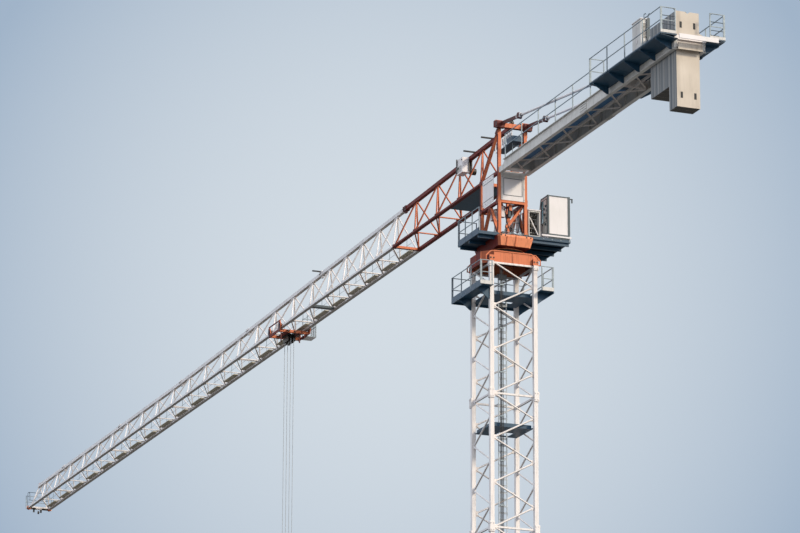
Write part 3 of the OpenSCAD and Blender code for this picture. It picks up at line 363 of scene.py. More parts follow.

# %% [markdown]
# ## Concrete of the slabs
# The slabs are cast: cloudy, with small pores and water marks that run down from the top.
# Their narrow sides are a darker grey, in bands along the row, and their undersides are
# darker still, which is painted shade. Modelled pores would cost many thousands of faces, so
# a bump and four mixed tones draw them.

# %% Cast concrete
concrete, cast, place = empty_material("cast concrete")
skin_tone = blend(cast, clouds(cast, place, 90, 6.0, 0.6), "#DCD0C2", "#B9AC9C")
drips = add(cast, "ShaderNodeMapping", {"Vector": place, "Scale": (1.0, 1.0, 0.06)})
wet = climb(cast, clouds(cast, drips.outputs[0], 22, 3.0), 0.52, 0.78, 0.0, 0.5)
stained = blend(cast, wet, skin_tone, "#8C8072")
facing = add(cast, "ShaderNodeSeparateXYZ", {0: place.node.outputs["Normal"]})
shaded = blend(cast, climb(cast, facing.outputs["Z"], -0.5, -0.9), stained, "#55524E")
slab_axis = add(cast, "ShaderNodeMapping", {"Vector": place, "Scale": (1.0, 0.0, 0.0)})
bands = clouds(cast, slab_axis.outputs[0], 17, 1.0)
edge_tone = blend(cast, climb(cast, bands, 0.35, 0.65), "#5F656C", "#9A9A99")
sideways = add(cast, "ShaderNodeMath", {0: facing.outputs["Y"]}, operation="ABSOLUTE")
edged = blend(cast, climb(cast, sideways.outputs[0], 0.6, 0.9), shaded, edge_tone)
pores = add(cast, "ShaderNodeTexVoronoi", {"Vector": place, "Scale": 1 / (7 * MM)})
pore_share = climb(cast, pores.outputs[0], 0.05, 0.22)
pitted = add(cast, "ShaderNodeBump", {"Height": pore_share, "Strength": 0.4, "Distance": 0.6 * MM})
stone = add(cast, "ShaderNodeBsdfPrincipled", {"Base Color": edged, "Roughness": 0.88,
                                               "Normal": pitted.outputs[0]})
add(cast, "ShaderNodeOutputMaterial", {"Surface": stone.outputs[0]})
print("concrete nodes", len(cast.nodes))

# %% [markdown]
# ## Finish of each CAD solid
# The lattice, the legs and the tip are white, the turret and the root section orange red,
# decks dark blue, the counter-jib beams grey. A table says which solid gets which coat, and
# what it doesn't name is lattice and gets the white one.

# %% Coats
coats = {
    orange_enamel: ["foot_frame", "ring_support", "turret_side_left", "turret_side_right",
                    "turret_braces", "turret_head", "jib_section_1", "trolley_frame"],
    oxide_enamel: ["tie_links"],
    pale_orange_enamel: ["turntable"],
    sheet_enamel: ["counterjib_deck"],
    blue_enamel: ["mast_landings", "collar_platform", "slewing_platform_left", "slewing_platform_right",
                  "counterjib_platforms", "head_platform", "jib_root_deck"],
    zinc: ["collar_railing", "slewing_railings", "counterjib_railings",
           "jib_tip_railing", "trolley_basket"],
    grey_enamel: ["counterjib_beams", "control_cabinet", "hoist_winch", "winch_cabinet"],
    greased_steel: ["slewing_ring", "trolley_wheels", "trolley_sheaves", "hook_block"],
    panel_enamel: ["cab_body", "turret_panels", "slew_motors", "trolley_winch", "tie_bars"],
    concrete: ["counterweight_short", "counterweight_long"],
    dusty_zinc: ["jib_walkway"],
    pale_zinc: ["mast_ladder"],
    worn_rope: ["hoist_ropes"],
    rubber: ["supply_cable"],
    glass: ["cab_glass"],
}
coated = {}
for coat, names in coats.items():
    for name in names:
        coated[name] = coat
for name, solid in nodes.items():
    coat = coated.get(name, white_enamel)
    solid.data.materials.clear()
    solid.data.materials.append(coat)
print("coated", len(nodes), "solids")

# %% [markdown]
# ## Three geometry trees for what repeats
# Bolts, tubes and slats make up most of the small things on a crane. Each is one Geometry
# Nodes tree with named inputs. The first puts a bolt head with its washer on every point
# and turns it along the point's own direction. The second draws a tube along every edge.
# The third puts a bar on every point, for gratings, louvres, fins and teeth. Array
# modifiers could repeat them too, but only along one straight line each.

# %% Tree helper
def open_tree(name, inputs):
    """A geometry tree with its inputs and its group nodes."""
    tree = bpy.data.node_groups.new(name, "GeometryNodeTree")
    tree.interface.new_socket(name="Geometry", in_out="INPUT", socket_type="NodeSocketGeometry")
    for label, kind in inputs:
        tree.interface.new_socket(name=label, in_out="INPUT", socket_type="NodeSocket" + kind)
    tree.interface.new_socket(name="Material", in_out="INPUT", socket_type="NodeSocketMaterial")
    tree.interface.new_socket(name="Geometry", in_out="OUTPUT", socket_type="NodeSocketGeometry")
    return tree, add(tree, "NodeGroupInput").outputs


def close_tree(tree, source, shape):
    """Realises the instances, sets the finish and sends the result out."""
    solid = add(tree, "GeometryNodeRealizeInstances", {"Geometry": shape})
    dressed = add(tree, "GeometryNodeSetMaterial", {"Geometry": solid.outputs[0],
                                                    "Material": source["Material"]})
    add(tree, "NodeGroupOutput", {0: dressed.outputs[0]})


# %% Bolt tree
WASHER_SHARE = 0.3
bolt_tree, source = open_tree("bolts on points", [("Head Radius", "Float"), ("Head Height", "Float"),
                                                  ("Washer Radius", "Float")])
half_head = add(bolt_tree, "ShaderNodeMath", {0: source["Head Height"], 1: 0.5}, operation="MULTIPLY")
head = add(bolt_tree, "GeometryNodeMeshCylinder", {"Vertices": 6, "Radius": source["Head Radius"],
                                                   "Depth": source["Head Height"]})
raised = add(bolt_tree, "GeometryNodeTransform", {
    "Geometry": head.outputs[0],
    "Translation": add(bolt_tree, "ShaderNodeCombineXYZ", {"Z": half_head.outputs[0]}).outputs[0]})
washer_t = add(bolt_tree, "ShaderNodeMath", {0: source["Head Height"], 1: WASHER_SHARE},
               operation="MULTIPLY")
washer = add(bolt_tree, "GeometryNodeMeshCylinder", {"Vertices": 12, "Radius": source["Washer Radius"],
                                                     "Depth": washer_t.outputs[0]})
bolt = add(bolt_tree, "GeometryNodeJoinGeometry")
bolt_tree.links.new(raised.outputs[0], bolt.inputs[0])
bolt_tree.links.new(washer.outputs[0], bolt.inputs[0])
facing = add(bolt_tree, "GeometryNodeInputNamedAttribute", {"Name": "facing"}, data_type="FLOAT_VECTOR")
turn = add(bolt_tree, "FunctionNodeAlignRotationToVector", {"Vector": facing.outputs[0]}, axis="Z")
heads = add(bolt_tree, "GeometryNodeInstanceOnPoints", {
    "Points": source["Geometry"], "Instance": bolt.outputs[0], "Rotation": turn.outputs[0]})
close_tree(bolt_tree, source, heads.outputs[0])
print("bolt tree", len(bolt_tree.nodes), "nodes")

# %% Tube tree
tube_tree, source = open_tree("tubes along edges", [("Radius", "Float"), ("Sides", "Int")])
line = add(tube_tree, "GeometryNodeMeshToCurve", {"Mesh": source["Geometry"]})
ring = add(tube_tree, "GeometryNodeCurvePrimitiveCircle", {"Resolution": source["Sides"],
                                                           "Radius": source["Radius"]})
tube = add(tube_tree, "GeometryNodeCurveToMesh", {"Curve": line.outputs[0],
                                                  "Profile Curve": ring.outputs[0], "Fill Caps": True})
close_tree(tube_tree, source, tube.outputs[0])
print("tube tree", len(tube_tree.nodes), "nodes")

# %% Slat tree
slat_tree, source = open_tree("slats on points", [("Size", "Vector")])
slat = add(slat_tree, "GeometryNodeMeshCube", {"Size": source["Size"]})
along = add(slat_tree, "GeometryNodeInputNamedAttribute", {"Name": "facing"}, data_type="FLOAT_VECTOR")
slat_turn = add(slat_tree, "FunctionNodeAlignRotationToVector", {"Vector": along.outputs[0]}, axis="X")
row = add(slat_tree, "GeometryNodeInstanceOnPoints", {
    "Points": source["Geometry"], "Instance": slat.outputs[0], "Rotation": slat_turn.outputs[0]})
close_tree(slat_tree, source, row.outputs[0])
print("slat tree", len(slat_tree.nodes), "nodes")

# %% [markdown]
# ## From a tree to a plain piece
# The export needs plain meshes, so each result is evaluated once, copied as a mesh without
# its modifier, and tied to the body that carries it. A modifier's inputs are set through
# the sockets' identifiers.

# %% Piece maker
WASHER_OVER_HEAD = 1.35
made_faces = {}


def keep(name, mesh, body):
    """Ties a finished mesh to a body under its own name."""
    piece = bpy.data.objects.new(name, mesh)
    bpy.context.scene.collection.objects.link(piece)
    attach(piece, body)
    made_faces[name] = len(mesh.polygons)
    return piece


def grow(name, body, material, tree, points, edges=(), facing=None, **sizes):
    """Runs a tree on points or edges in model millimetres and keeps the plain mesh."""
    seed = bpy.data.meshes.new(name + "_seed")
    seed.from_pydata([tuple(c * MM for c in p) for p in points], list(edges), [])
    if facing is not None:
        held = seed.attributes.new("facing", "FLOAT_VECTOR", "POINT")
        held.data.foreach_set("vector", np.array(facing, float).ravel())
    carrier = bpy.data.objects.new(name + "_seed", seed)
    bpy.context.scene.collection.objects.link(carrier)
    modifier = carrier.modifiers.new("grow", "NODES")
    modifier.node_group = tree
    values = {**sizes, "material": material}
    for item in tree.interface.items_tree:
        label = item.name.replace(" ", "_").lower()
        if item.in_out == "INPUT" and label in values:
            modifier[item.identifier] = values[label]
    bpy.context.view_layer.update()
    graph = bpy.context.evaluated_depsgraph_get()
    mesh = bpy.data.meshes.new_from_object(carrier.evaluated_get(graph))
    mesh.name = name
    bpy.data.objects.remove(carrier)
    return keep(name, mesh, body)


def tubes(name, body, material, paths, radius, sides=8):
    """Round bars along paths, each a list of points."""
    points, edges = [], []
    for path in paths:
        first = len(points)
        points += [tuple(p) for p in path]
        edges += [(first + k, first + k + 1) for k in range(len(path) - 1)]
    return grow(name, body, material, tube_tree, points, edges, radius=radius * MM, sides=sides)


def bolts(name, body, material, places, head=3.0, height=2.2):
    """Bolt heads at (point, direction) places."""
    return grow(name, body, material, bolt_tree, [p for p, _ in places],
                facing=[tuple(d) for _, d in places], head_radius=head * MM, head_height=height * MM,
                washer_radius=head * WASHER_OVER_HEAD * MM)


def slats(name, body, material, places, size):
    """Bars of one size at (middle, direction) places, their X side along the direction."""
    return grow(name, body, material, slat_tree, [p for p, _ in places],
                facing=[tuple(d) for _, d in places], size=[s * MM for s in size])


# %% [markdown]
# ## Plates, blocks and discs
# Everything that isn't a repeat is a prism: an outline and a direction to draw it out. A
# block and a disc are prisms too. Boolean cuts or bevelled cubes would need objects that
# are cleaned up later, while a prism is plain points and faces from the start. The faces
# are wound so that their normals point outward.

# %% Prisms
def prism_faces(loop, shift, first):
    """Faces of one prism, with outward normals."""
    n = len(loop)
    area = Vector()
    for k in range(n):
        area += loop[k].cross(loop[(k + 1) % n])
    bottom, top = list(range(first, first + n)), list(range(first + n, first + 2 * n))
    sides = [(bottom[k], bottom[(k + 1) % n], top[(k + 1) % n], top[k]) for k in range(n)]
    if area.dot(shift) > 0:
        return [tuple(reversed(bottom)), tuple(top), *sides]
    return [tuple(bottom), tuple(reversed(top)), *[tuple(reversed(s)) for s in sides]]


def prisms(name, body, material, items):
    """One piece of prisms, each an outline and a shift in model millimetres."""
    points, faces = [], []
    for loop, shift in items:
        loop, shift = [Vector(p) for p in loop], Vector(shift)
        faces += prism_faces(loop, shift, len(points))
        points += loop + [p + shift for p in loop]
    mesh = bpy.data.meshes.new(name)
    mesh.from_pydata([tuple(p * MM) for p in points], [], faces)
    mesh.materials.append(material)
    return keep(name, mesh, body)


def block(low, high):
    """Box between two opposite corners, in any order."""
    (x0, x1), (y0, y1), (z0, z1) = [sorted(pair) for pair in zip(low, high)]
    return [(x0, y0, z0), (x1, y0, z0), (x1, y1, z0), (x0, y1, z0)], (0, 0, z1 - z0)


def disc(centre, axis, radius, thick, sides=24):
    """Round disc that starts at its centre and is drawn out along its axis."""
    axis = Vector(axis).normalized()
    across = axis.orthogonal().normalized()
    other = axis.cross(across)
    loop = [Vector(centre) + radius * (math.cos(math.tau * k / sides) * across
                                       + math.sin(math.tau * k / sides) * other) for k in range(sides)]
    return loop, axis * thick


def plate_xz(outline, y, thick):
    """Plate of an outline in X and Z."""
    return [(x, y, z) for x, z in outline], (0, thick, 0)


def plate_yz(outline, x, thick):
    """Plate of an outline in Y and Z."""
    return [(x, y, z) for y, z in outline], (thick, 0, 0)


def steps(low, high, pitch):
    """Even places from low to high, about one pitch apart."""
    count = max(1, round((high - low) / pitch))
    return [low + (high - low) * k / count for k in range(count + 1)]


def around(radius, count, first=0.0):
    """Even outward directions round the Z axis with their points, from a first step."""
    turns = [math.tau * (k + first) / count for k in range(count)]
    outs = [Vector((math.cos(a), math.sin(a), 0)) for a in turns]
    return [(out * radius, out) for out in outs]


print("places from 0 to 100, about 30 apart", [round(v, 1) for v in steps(0, 100, 30)])

# %% [markdown]
# ## Mast joints
# Mast sections are drawn together by tension bolts or pins at each leg. On this mast each
# joint shows as two short sleeves on the leg with bolt heads on their outer faces. The
# heads could be placed by hand, but points worked out from the legs' own corners stay
# right when the mast changes, so they go through the bolt tree.

# %% Mast joint bolts
SECTIONS, LACING_BAYS = 6, 6
LEG_MID, JOINT_LIFT, BOLT_OFF = 11, 14, 6
section_h = (mast_high.z - mast_low.z) / SECTIONS
joint_levels = [mast_low.z + k * section_h + lift for k in range(SECTIONS + 1)
                for lift in (-JOINT_LIFT, JOINT_LIFT)]
joint_bolts = []
for z in [level for level in joint_levels if mast_low.z < level < mast_high.z]:
    for sx, sy in CORNERS:
        for off in (-BOLT_OFF, BOLT_OFF):
            joint_bolts.append(((sx * mast_high.x, sy * (mast_high.y - LEG_MID) + off, z), (sx, 0, 0)))
            joint_bolts.append(((sx * (mast_high.x - LEG_MID) + off, sy * mast_high.y, z), (0, sy, 0)))
bolts("mast_joint_bolts", "root", white_enamel, joint_bolts, head=2.6)
print("mast joint bolts", len(joint_bolts))

# %% Gussets where the mast lacing meets the legs
LEG_W, SLEEVE_OUT = 18, 4
GUSSET = (13, 3, 24)
LEG_IN = mast_high.x - SLEEVE_OUT - LEG_W
gussets_on_sides, gussets_on_ends = [], []
for k in range(1, SECTIONS * LACING_BAYS):
    z = mast_low.z + k * section_h / LACING_BAYS
    turn = 1 if k % 2 == 0 else -1
    for s in SIDES:
        gussets_on_sides.append(((turn * s * (LEG_IN - 6), s * (LEG_IN + 9), z), (1, 0, 0)))
        gussets_on_ends.append(((-s * (LEG_IN + 9), turn * s * (LEG_IN - 6), z), (0, 1, 0)))
slats("mast_gussets_sides", "root", white_enamel, gussets_on_sides, GUSSET)
slats("mast_gussets_ends", "root", white_enamel, gussets_on_ends, GUSSET)
print("mast gussets", len(gussets_on_sides) + len(gussets_on_ends))

# %% [markdown]
# ## Ladder and landings
# A mast ladder has round rungs between two stiles, and each rest landing is a plate with
# bearing bars and a kick board round it. The rungs are tubes on straight two-point paths
# and the bars are slats, so one line of places makes each of them.

# %% Ladder rungs and stiles
RUNG_PITCH, RUNG_R, STILE_R = 30, 2.0, 2.6
ladder_low, ladder_high = corners("mast_ladder")
rung_x, stile_ys = ladder_low.x + 2, (ladder_low.y + 2, ladder_high.y - 2)
rung_levels = steps(ladder_low.z + 28, ladder_high.z - 20, RUNG_PITCH)
tubes("ladder_rungs", "root", pale_zinc, [[(rung_x, y, z) for y in stile_ys] for z in rung_levels], RUNG_R)
tubes("ladder_stiles", "root", pale_zinc,
      [[(rung_x, y, ladder_low.z + 2), (rung_x, y, ladder_high.z - 2)] for y in stile_ys], STILE_R)
print("rungs", len(rung_levels))

# %% Landing bars and kick boards
LANDING_DROP, LANDING_PLATE = 140, 3
BAR_PITCH, BAR_W, BAR_H = 9, 1.6, 2
KICK_H, KICK_LOW_H = 14, 10
landing_levels = [mast_low.z + (k + 1) * section_h - LANDING_DROP + LANDING_PLATE for k in range(SECTIONS)]
landing_bars = [((-28, y, z + 1), (1, 0, 0)) for z in landing_levels for y in steps(-90, 90, BAR_PITCH)]
slats("landing_bars", "root", blue_enamel, landing_bars, (84, BAR_W, BAR_H))
kick_boards = []
for z in landing_levels:
    kick_boards += [block((-82, y - 1, z), (88, y + 1, z + KICK_H)) for y in (-91, 91)]
    kick_boards.append(block((-82, -91, z), (-80, 91, z + KICK_H)))
    kick_boards.append(block((14, -55, z), (16, 15, z + KICK_LOW_H)))
prisms("landing_kick_boards", "root", blue_enamel, kick_boards)
print("landings", len(landing_levels), "bars", len(landing_bars))

# %% [markdown]
# ## Supply cable
# The thick cable runs up the mast in clamps with two thinner hoses beside it. The hoses are
# straight tubes, because a hanging cable between clamps this close shows no sag.

# %% Cable clamps and hoses
CLAMP_PITCH, HOSE_R = 196, 1.7
cable_high = corners("supply_cable")[1]
cable_x, cable_y = cable_high.x - 2.5, 52
tubes("mast_hoses", "root", rubber,
      [[(cable_x, cable_y + off, mast_low.z + 4), (cable_x, cable_y + off, mast_high.z - 4)]
       for off in (-7, 6)], HOSE_R)
clamps = [block((cable_x - 4, cable_y - 10, z - 3), (cable_x + 4, cable_y + 9, z + 3))
          for z in steps(mast_low.z + CLAMP_PITCH / 2, mast_high.z - CLAMP_PITCH / 2, CLAMP_PITCH)]
prisms("cable_clamps", "root", zinc, clamps)
print("cable clamps", len(clamps))

# %% [markdown]
# ## Foot frame
# A foot shoe is a welded box whose stiffener plates carry the leg's push outward. Each plate
# is a triangle, so it is a prism of three points. Pins hold the leg, and a ring of weld
# drops stands round each anchor hole.

# %% Foot stiffeners, pins and weld drops
LEG_POS, ANCHOR = 103, 135
SHOE_TOP, RIB_IN, RIB_OUT, RIB_H, RIB_T = 8, 15, 44, 46, 4
WELD_R, WELD_COUNT = 8.5, 6
ribs, foot_bolts, weld_drops = [], [], []
for sx, sy in CORNERS:
    x, y = sx * LEG_POS, sy * LEG_POS
    for plate, middle, across, s in ((plate_xz, x, y, sx), (plate_yz, y, x, sy)):
        near, far = middle + s * RIB_IN, middle + s * RIB_OUT
        triangle = [(near, SHOE_TOP), (far, SHOE_TOP), (near, RIB_H)]
        ribs.append(plate(triangle, across - RIB_T / 2, RIB_T))
    for z in (38, 52):
        foot_bolts.append(((x + sx * RIB_IN, y - 8 * sy, z), (sx, 0, 0)))
        foot_bolts.append(((x - 8 * sx, y + sy * RIB_IN, z), (0, sy, 0)))
    for place, _ in around(WELD_R, WELD_COUNT):
        weld_drops.append(disc(place + Vector((sx * ANCHOR, sy * ANCHOR, SHOE_TOP)), UP, 1.6, 1.2, 8))
prisms("foot_ribs", "root", orange_enamel, ribs)
prisms("anchor_hole_welds", "root", orange_enamel, weld_drops)
bolts("foot_bolts", "root", greased_steel, foot_bolts, head=3.4)
print("foot ribs", len(ribs), "pins", len(foot_bolts))

# %% [markdown]
# ## Collar platform
# The walkway round the mast top is a grating with a toe board on its outer edges. A real
# grating has hundreds of thin bars. Here a slat tree draws one bar every nine millimetres,
# which is as dense as the picture can show, and the posts' feet get a bolt each.

# %% Collar bars
collar_low, collar_high = corners("collar_platform")
floor_z, LEG_OUT = collar_high.z, mast_high.y
side_bars = [((x, s * (LEG_OUT + collar_high.y) / 2, floor_z + 1), (0, 1, 0))
             for s in SIDES for x in steps(collar_low.x + 6, collar_high.x - 6, BAR_PITCH)]
slats("collar_bars_sides", "root", blue_enamel, side_bars, (collar_high.y - LEG_OUT - 8, BAR_W, BAR_H))
front_x = (mast_high.x + collar_high.x) / 2
slats("collar_bars_front", "root", blue_enamel,
      [((front_x, y, floor_z + 1), (1, 0, 0)) for y in steps(-108, 108, BAR_PITCH)],
      (collar_high.x - mast_high.x - 8, BAR_W, BAR_H))
print("collar bars on the sides", len(side_bars))

# %% Collar toe boards, end boards and post bolts
TOE_H, TOE_INSET, POST_PITCH = 16, 0.994, 54
toes = [block((collar_low.x, s * TOE_INSET * collar_high.y - 1, floor_z),
              (collar_high.x, s * TOE_INSET * collar_high.y + 1, floor_z + TOE_H)) for s in SIDES]
toes.append(block((collar_high.x - 2, -collar_high.y, floor_z),
                  (collar_high.x, collar_high.y, floor_z + TOE_H)))
prisms("collar_toe_boards", "root", blue_enamel, toes)
prisms("collar_end_boards", "root", grey_enamel,
       [block((collar_low.x - 1, s * (LEG_OUT + 3), floor_z - 2),
              (collar_low.x + 1, s * collar_high.y, floor_z + TOE_H - 2)) for s in SIDES])
collar_feet = [((x, s * (collar_high.y + 0.2), floor_z - 5), (0, s, 0))
               for s in SIDES for x in steps(collar_low.x + 4, collar_high.x - 4, POST_PITCH)]
bolts("collar_post_bolts", "root", zinc, collar_feet, head=2.2, height=1.6)
print("collar post bolts", len(collar_feet))

# %% [markdown]
# ## Ring support
# The support is a welded box: a seam at each corner, a rib in the middle of each wall, and a
# pocket frame of flat bar where the wall is cut away at each corner. Thin blocks that stand
# a little proud of the wall read as welded plates without cutting the CAD solid.

# %% Support ribs
support_low, support_high = corners("ring_support")
SUP_X, SUP_Y, SUP_CUT = 103, 134, 46
support_ribs = []
for s in SIDES:
    wall_z = (support_low.z + 3, support_high.z - 3)
    support_ribs.append(block((s * SUP_X - 1.5, -2.5, wall_z[0]), (s * SUP_X + 1.5, 2.5, wall_z[1])))
    support_ribs.append(block((-2.5, s * SUP_Y - 1.5, wall_z[0]), (2.5, s * SUP_Y + 1.5, wall_z[1])))
    support_ribs.append(block((s * SUP_X - 3, -SUP_Y + SUP_CUT, support_high.z - 7),
                              (s * SUP_X + 3, SUP_Y - SUP_CUT, support_high.z - 4)))
    for t in SIDES:
        for x, y in ((s * (SUP_X - 1), t * (SUP_Y - SUP_CUT)), (s * (SUP_X - SUP_CUT), t * (SUP_Y - 1))):
            support_ribs.append(block((x - 2, y - 2, support_low.z + 1), (x + 2, y + 2, support_high.z - 2)))
prisms("support_ribs", "root", orange_enamel, support_ribs)
print("support ribs", len(support_ribs))

# %% Pocket frames and pad bolts
POCKET_X, POCKET_IN, POCKET_OUT = 106, 88, 131
PAD_FACE, PAD_LIFT = 116, 14
pockets = []
for s, t in CORNERS:
    x0, x1 = s * POCKET_X - 2, s * POCKET_X + 2
    y0, y1, z0, z1 = t * POCKET_IN, t * POCKET_OUT, support_low.z + 2, support_high.z - 6
    pockets.append(block((x0, y0, z0), (x1, y1, z0 + 4)))
    pockets.append(block((x0, y1 - 4 * t, z0), (x1, y1, z0 + 22)))
    pockets.append(block((x0, y0, z1 - 3), (x1, y0 + 20 * t, z1)))
    slope = [(y0 + 18 * t, z1 - 4), (y0 + 20 * t, z1), (y1, z0 + 24), (y1 - 5 * t, z0 + 21)]
    pockets.append(plate_yz(slope, x0, 4))
prisms("support_corner_frames", "root", orange_enamel, pockets)
pad_bolts = []
for sx, sy in CORNERS:
    for off in (-7, 7):
        pad_bolts.append(((sx * PAD_FACE, sy * LEG_POS + off, mast_high.z + PAD_LIFT), (sx, 0, 0)))
        pad_bolts.append(((sx * LEG_POS + off, sy * PAD_FACE, mast_high.z + PAD_LIFT), (0, sy, 0)))
bolts("support_pad_bolts", "root", greased_steel, pad_bolts, head=3.0)
print("pocket plates", len(pockets), "pad bolts", len(pad_bolts))

# %% [markdown]
# ## Slewing ring and turntable
# The ring is a large ball bearing: its outer teeth mesh with the slewing motors' pinions and
# a circle of studs holds its inner race. Teeth are short radial slats on a circle. Gear
# profiles could be modelled, but a tooth is half a pixel wide in the picture.

# %% Ring teeth and studs
RING_TEETH, TOOTH_R, RING_STUDS, STUD_R = 110, 92.6, 40, 86
ring_low, ring_high = corners("slewing_ring")
teeth = [(place + UP * (ring_low.z + 5.5), out) for place, out in around(TOOTH_R, RING_TEETH)]
slats("ring_teeth", "slewing_unit", greased_steel, teeth, (3.0, 2.8, 7))
studs = [(place + UP * (ring_high.z - 0.5), UP) for place, _ in around(STUD_R, RING_STUDS, 0.5)]
bolts("ring_studs", "slewing_unit", greased_steel, studs, head=2.4)
print("ring teeth", len(teeth), "studs", len(studs))

# %% Turntable seams and bolts
table_low, table_high = corners("turntable")
DECK = table_high.z
TAB_X, TAB_Y, TAB_NARROW = 140, 84, 0.9
seams = []
for s in SIDES:
    seams.append(block((s * TAB_X - 1.2, -2, DECK - 9), (s * TAB_X + 1.2, 2, DECK - 1)))
    seams.append(block((-2, s * TAB_Y - 1.2, DECK - 9), (2, s * TAB_Y + 1.2, DECK - 1)))
    top_x, foot_z = s * (TAB_X + 0.4), table_low.z + 4
    strip = [(top_x, DECK - 8), (top_x * TAB_NARROW, foot_z), (top_x * TAB_NARROW + 3 * s, foot_z),
             (top_x + 1.4 * s, DECK - 8)]
    seams += [plate_xz(strip, y - 2, 4) for y in (0, 42)]
prisms("turntable_seams", "slewing_unit", orange_enamel, seams)
lug_bolts = [((s * TAB_X, off, DECK - 4), (s, 0, 0)) for s in SIDES for off in (-70, -50, 50, 70)]
bolts("turntable_bolts", "slewing_unit", greased_steel, lug_bolts, head=2.6)
print("turntable seams", len(seams), "bolts", len(lug_bolts))

# %% [markdown]
# ## Turret frame
# The turret is a welded frame of square tubes. Gusset plates with five bolts each sit where
# its posts, beams and braces meet. A gusset is one outline with a lean towards the brace,
# so a prism of six points draws it, and its bolts repeat one small pattern.

# %% Turret measures
side_low, side_high = corners("turret_side_left")
OUT, SIDE = side_high.y, (side_high.y + side_low.y) / 2
REAR, FRONT = side_low.x + 7, side_high.x - 7
TOP = side_high.z + 10
CHORD = corners("turret_braces")[1].z - 7
MID = DECK + 163
print("turret from", round(REAR), "to", round(FRONT), "chords at", round(CHORD), "top at", round(TOP))

# %% Turret gussets
LEAN, PLATE_T = 20, 2
gussets, gusset_bolts = [], []
for s in SIDES:
    y = OUT if s > 0 else -OUT - PLATE_T
    places = [(REAR, MID), (FRONT, MID), (REAR, DECK + 12), (FRONT, DECK + 12), (REAR, TOP - 32)]
    if s < 0:
        places.append(((REAR + FRONT) / 2, MID))
    for x, z in places:
        lean = LEAN if x < 0 else -LEAN
        gussets.append(plate_xz([(x - 7, z - 14), (x + 7, z - 14), (x + 7 + max(lean, 0), z), (x + 7, z + 16),
                                 (x - 7, z + 16), (x - 7 + min(lean, 0), z)], y, PLATE_T))
        gusset_bolts += [((x + dx, s * (OUT + PLATE_T), z + dz), (0, s, 0))
                         for dx, dz in ((-3.5, -9), (3.5, -9), (-3.5, 10), (3.5, 10), (lean * 0.7, 0))]
prisms("turret_gussets", "slewing_unit", orange_enamel, gussets)
bolts("turret_bolts", "slewing_unit", greased_steel, gusset_bolts, head=1.9, height=1.6)
print("turret gussets", len(gussets), "bolts", len(gusset_bolts))

# %% [markdown]
# ## Turret panels
# The white rear panel has a raised frame, a dark seal set in from it and clips along its
# edges, and the side panel shows two seams. Strips this thin could be a bump in the
# material, but they are blocks, so that they also show in the exported mesh.

# %% Rear panel
PANEL_HALF, FRAME_W, SEAL_HALF, SEAL_W = 56, 6, 45, 2
panel_x = corners("turret_panels")[0].x
panel_z0, panel_z1 = MID + 5, CHORD - 15
frame_in = PANEL_HALF - FRAME_W
rear_frame = [block((panel_x - 2, s * PANEL_HALF, panel_z0), (panel_x, s * frame_in, panel_z1))
              for s in SIDES]
rear_frame.append(block((panel_x - 2, -frame_in, panel_z1 - 9), (panel_x, frame_in, panel_z1)))
prisms("rear_panel_frame", "slewing_unit", grey_enamel, rear_frame)
seal_z0, seal_z1 = panel_z0 + 22, panel_z1 - 12
seal_in = SEAL_HALF - SEAL_W
seal = [block((panel_x - 1.4, -SEAL_HALF, z), (panel_x, SEAL_HALF, z + SEAL_W))
        for z in (seal_z0, seal_z1 - SEAL_W)]
seal += [block((panel_x - 1.4, s * SEAL_HALF, seal_z0), (panel_x, s * seal_in, seal_z1)) for s in SIDES]
prisms("rear_panel_seal", "slewing_unit", slate_enamel, seal)
print("rear panel", round(panel_z1 - panel_z0), "mm high")

# %% Side panel seams and clips
CLIP_PITCH_REAR, CLIP_PITCH_SIDE = 46, 26
side_x0, side_x1 = REAR + 51, FRONT - 36
prisms("side_panel_seams", "slewing_unit", slate_enamel,
       [block((side_x0, OUT + 1.8, z), (side_x1, OUT + 2.9, z + 2)) for z in (MID + 32, CHORD - 22)])
clips = [((panel_x - 2, y, z), (-1, 0, 0)) for y in (-53, 53)
         for z in steps(panel_z0 + 8, panel_z1 - 8, CLIP_PITCH_REAR)]
clips += [((x, OUT + 2, z), (0, 1, 0)) for x in steps(side_x0, side_x1, CLIP_PITCH_SIDE)
          for z in (MID + 20, CHORD - 9)]
bolts("panel_clips", "slewing_unit", zinc, clips, head=1.5, height=1.0)
print("panel clips", len(clips))

# %% [markdown]
# ## Inside the turret
# Two slewing motors with finned housings stand on the turntable, a ladder leads up to the
# head, and a strut crosses the open rear. Most of this is seen only as dark shapes between
# the tubes, so motors get flanges and fins, and the rest is plain boxes, pumps and hoses.

# %% Slewing motors
MOTOR_X, MOTOR_Y, FIN_COUNT, FIN_R = 8, 26, 18, 12
motor_parts, fins = [], []
for s in SIDES:
    foot = Vector((MOTOR_X, s * MOTOR_Y, DECK))
    motor_parts += [disc(foot + UP * lift, UP, radius, thick) for lift, radius, thick in
                    ((0, 18, 5), (56, 17, 5), (98, 9, 4))]
    motor_parts.append(block(foot + Vector((-22, -7, 64)), foot + Vector((-8, 7, 84))))
    fins += [(foot + place + UP * 78, out) for place, out in around(FIN_R, FIN_COUNT)]
prisms("motor_flanges", "slewing_unit", grey_enamel, motor_parts)
slats("motor_fins", "slewing_unit", grey_enamel, fins, (4, 1, 30))
tubes("motor_cables", "slewing_unit", rubber,
      [[(-14, s * 26, DECK + 74), (-30, s * 30, DECK + 60), (-40, s * 34, DECK + 20), (-60, s * 40, DECK + 3),
        (-88, s * 44, DECK + 3)] for s in SIDES], 1.8)
print("motor fins", len(fins))

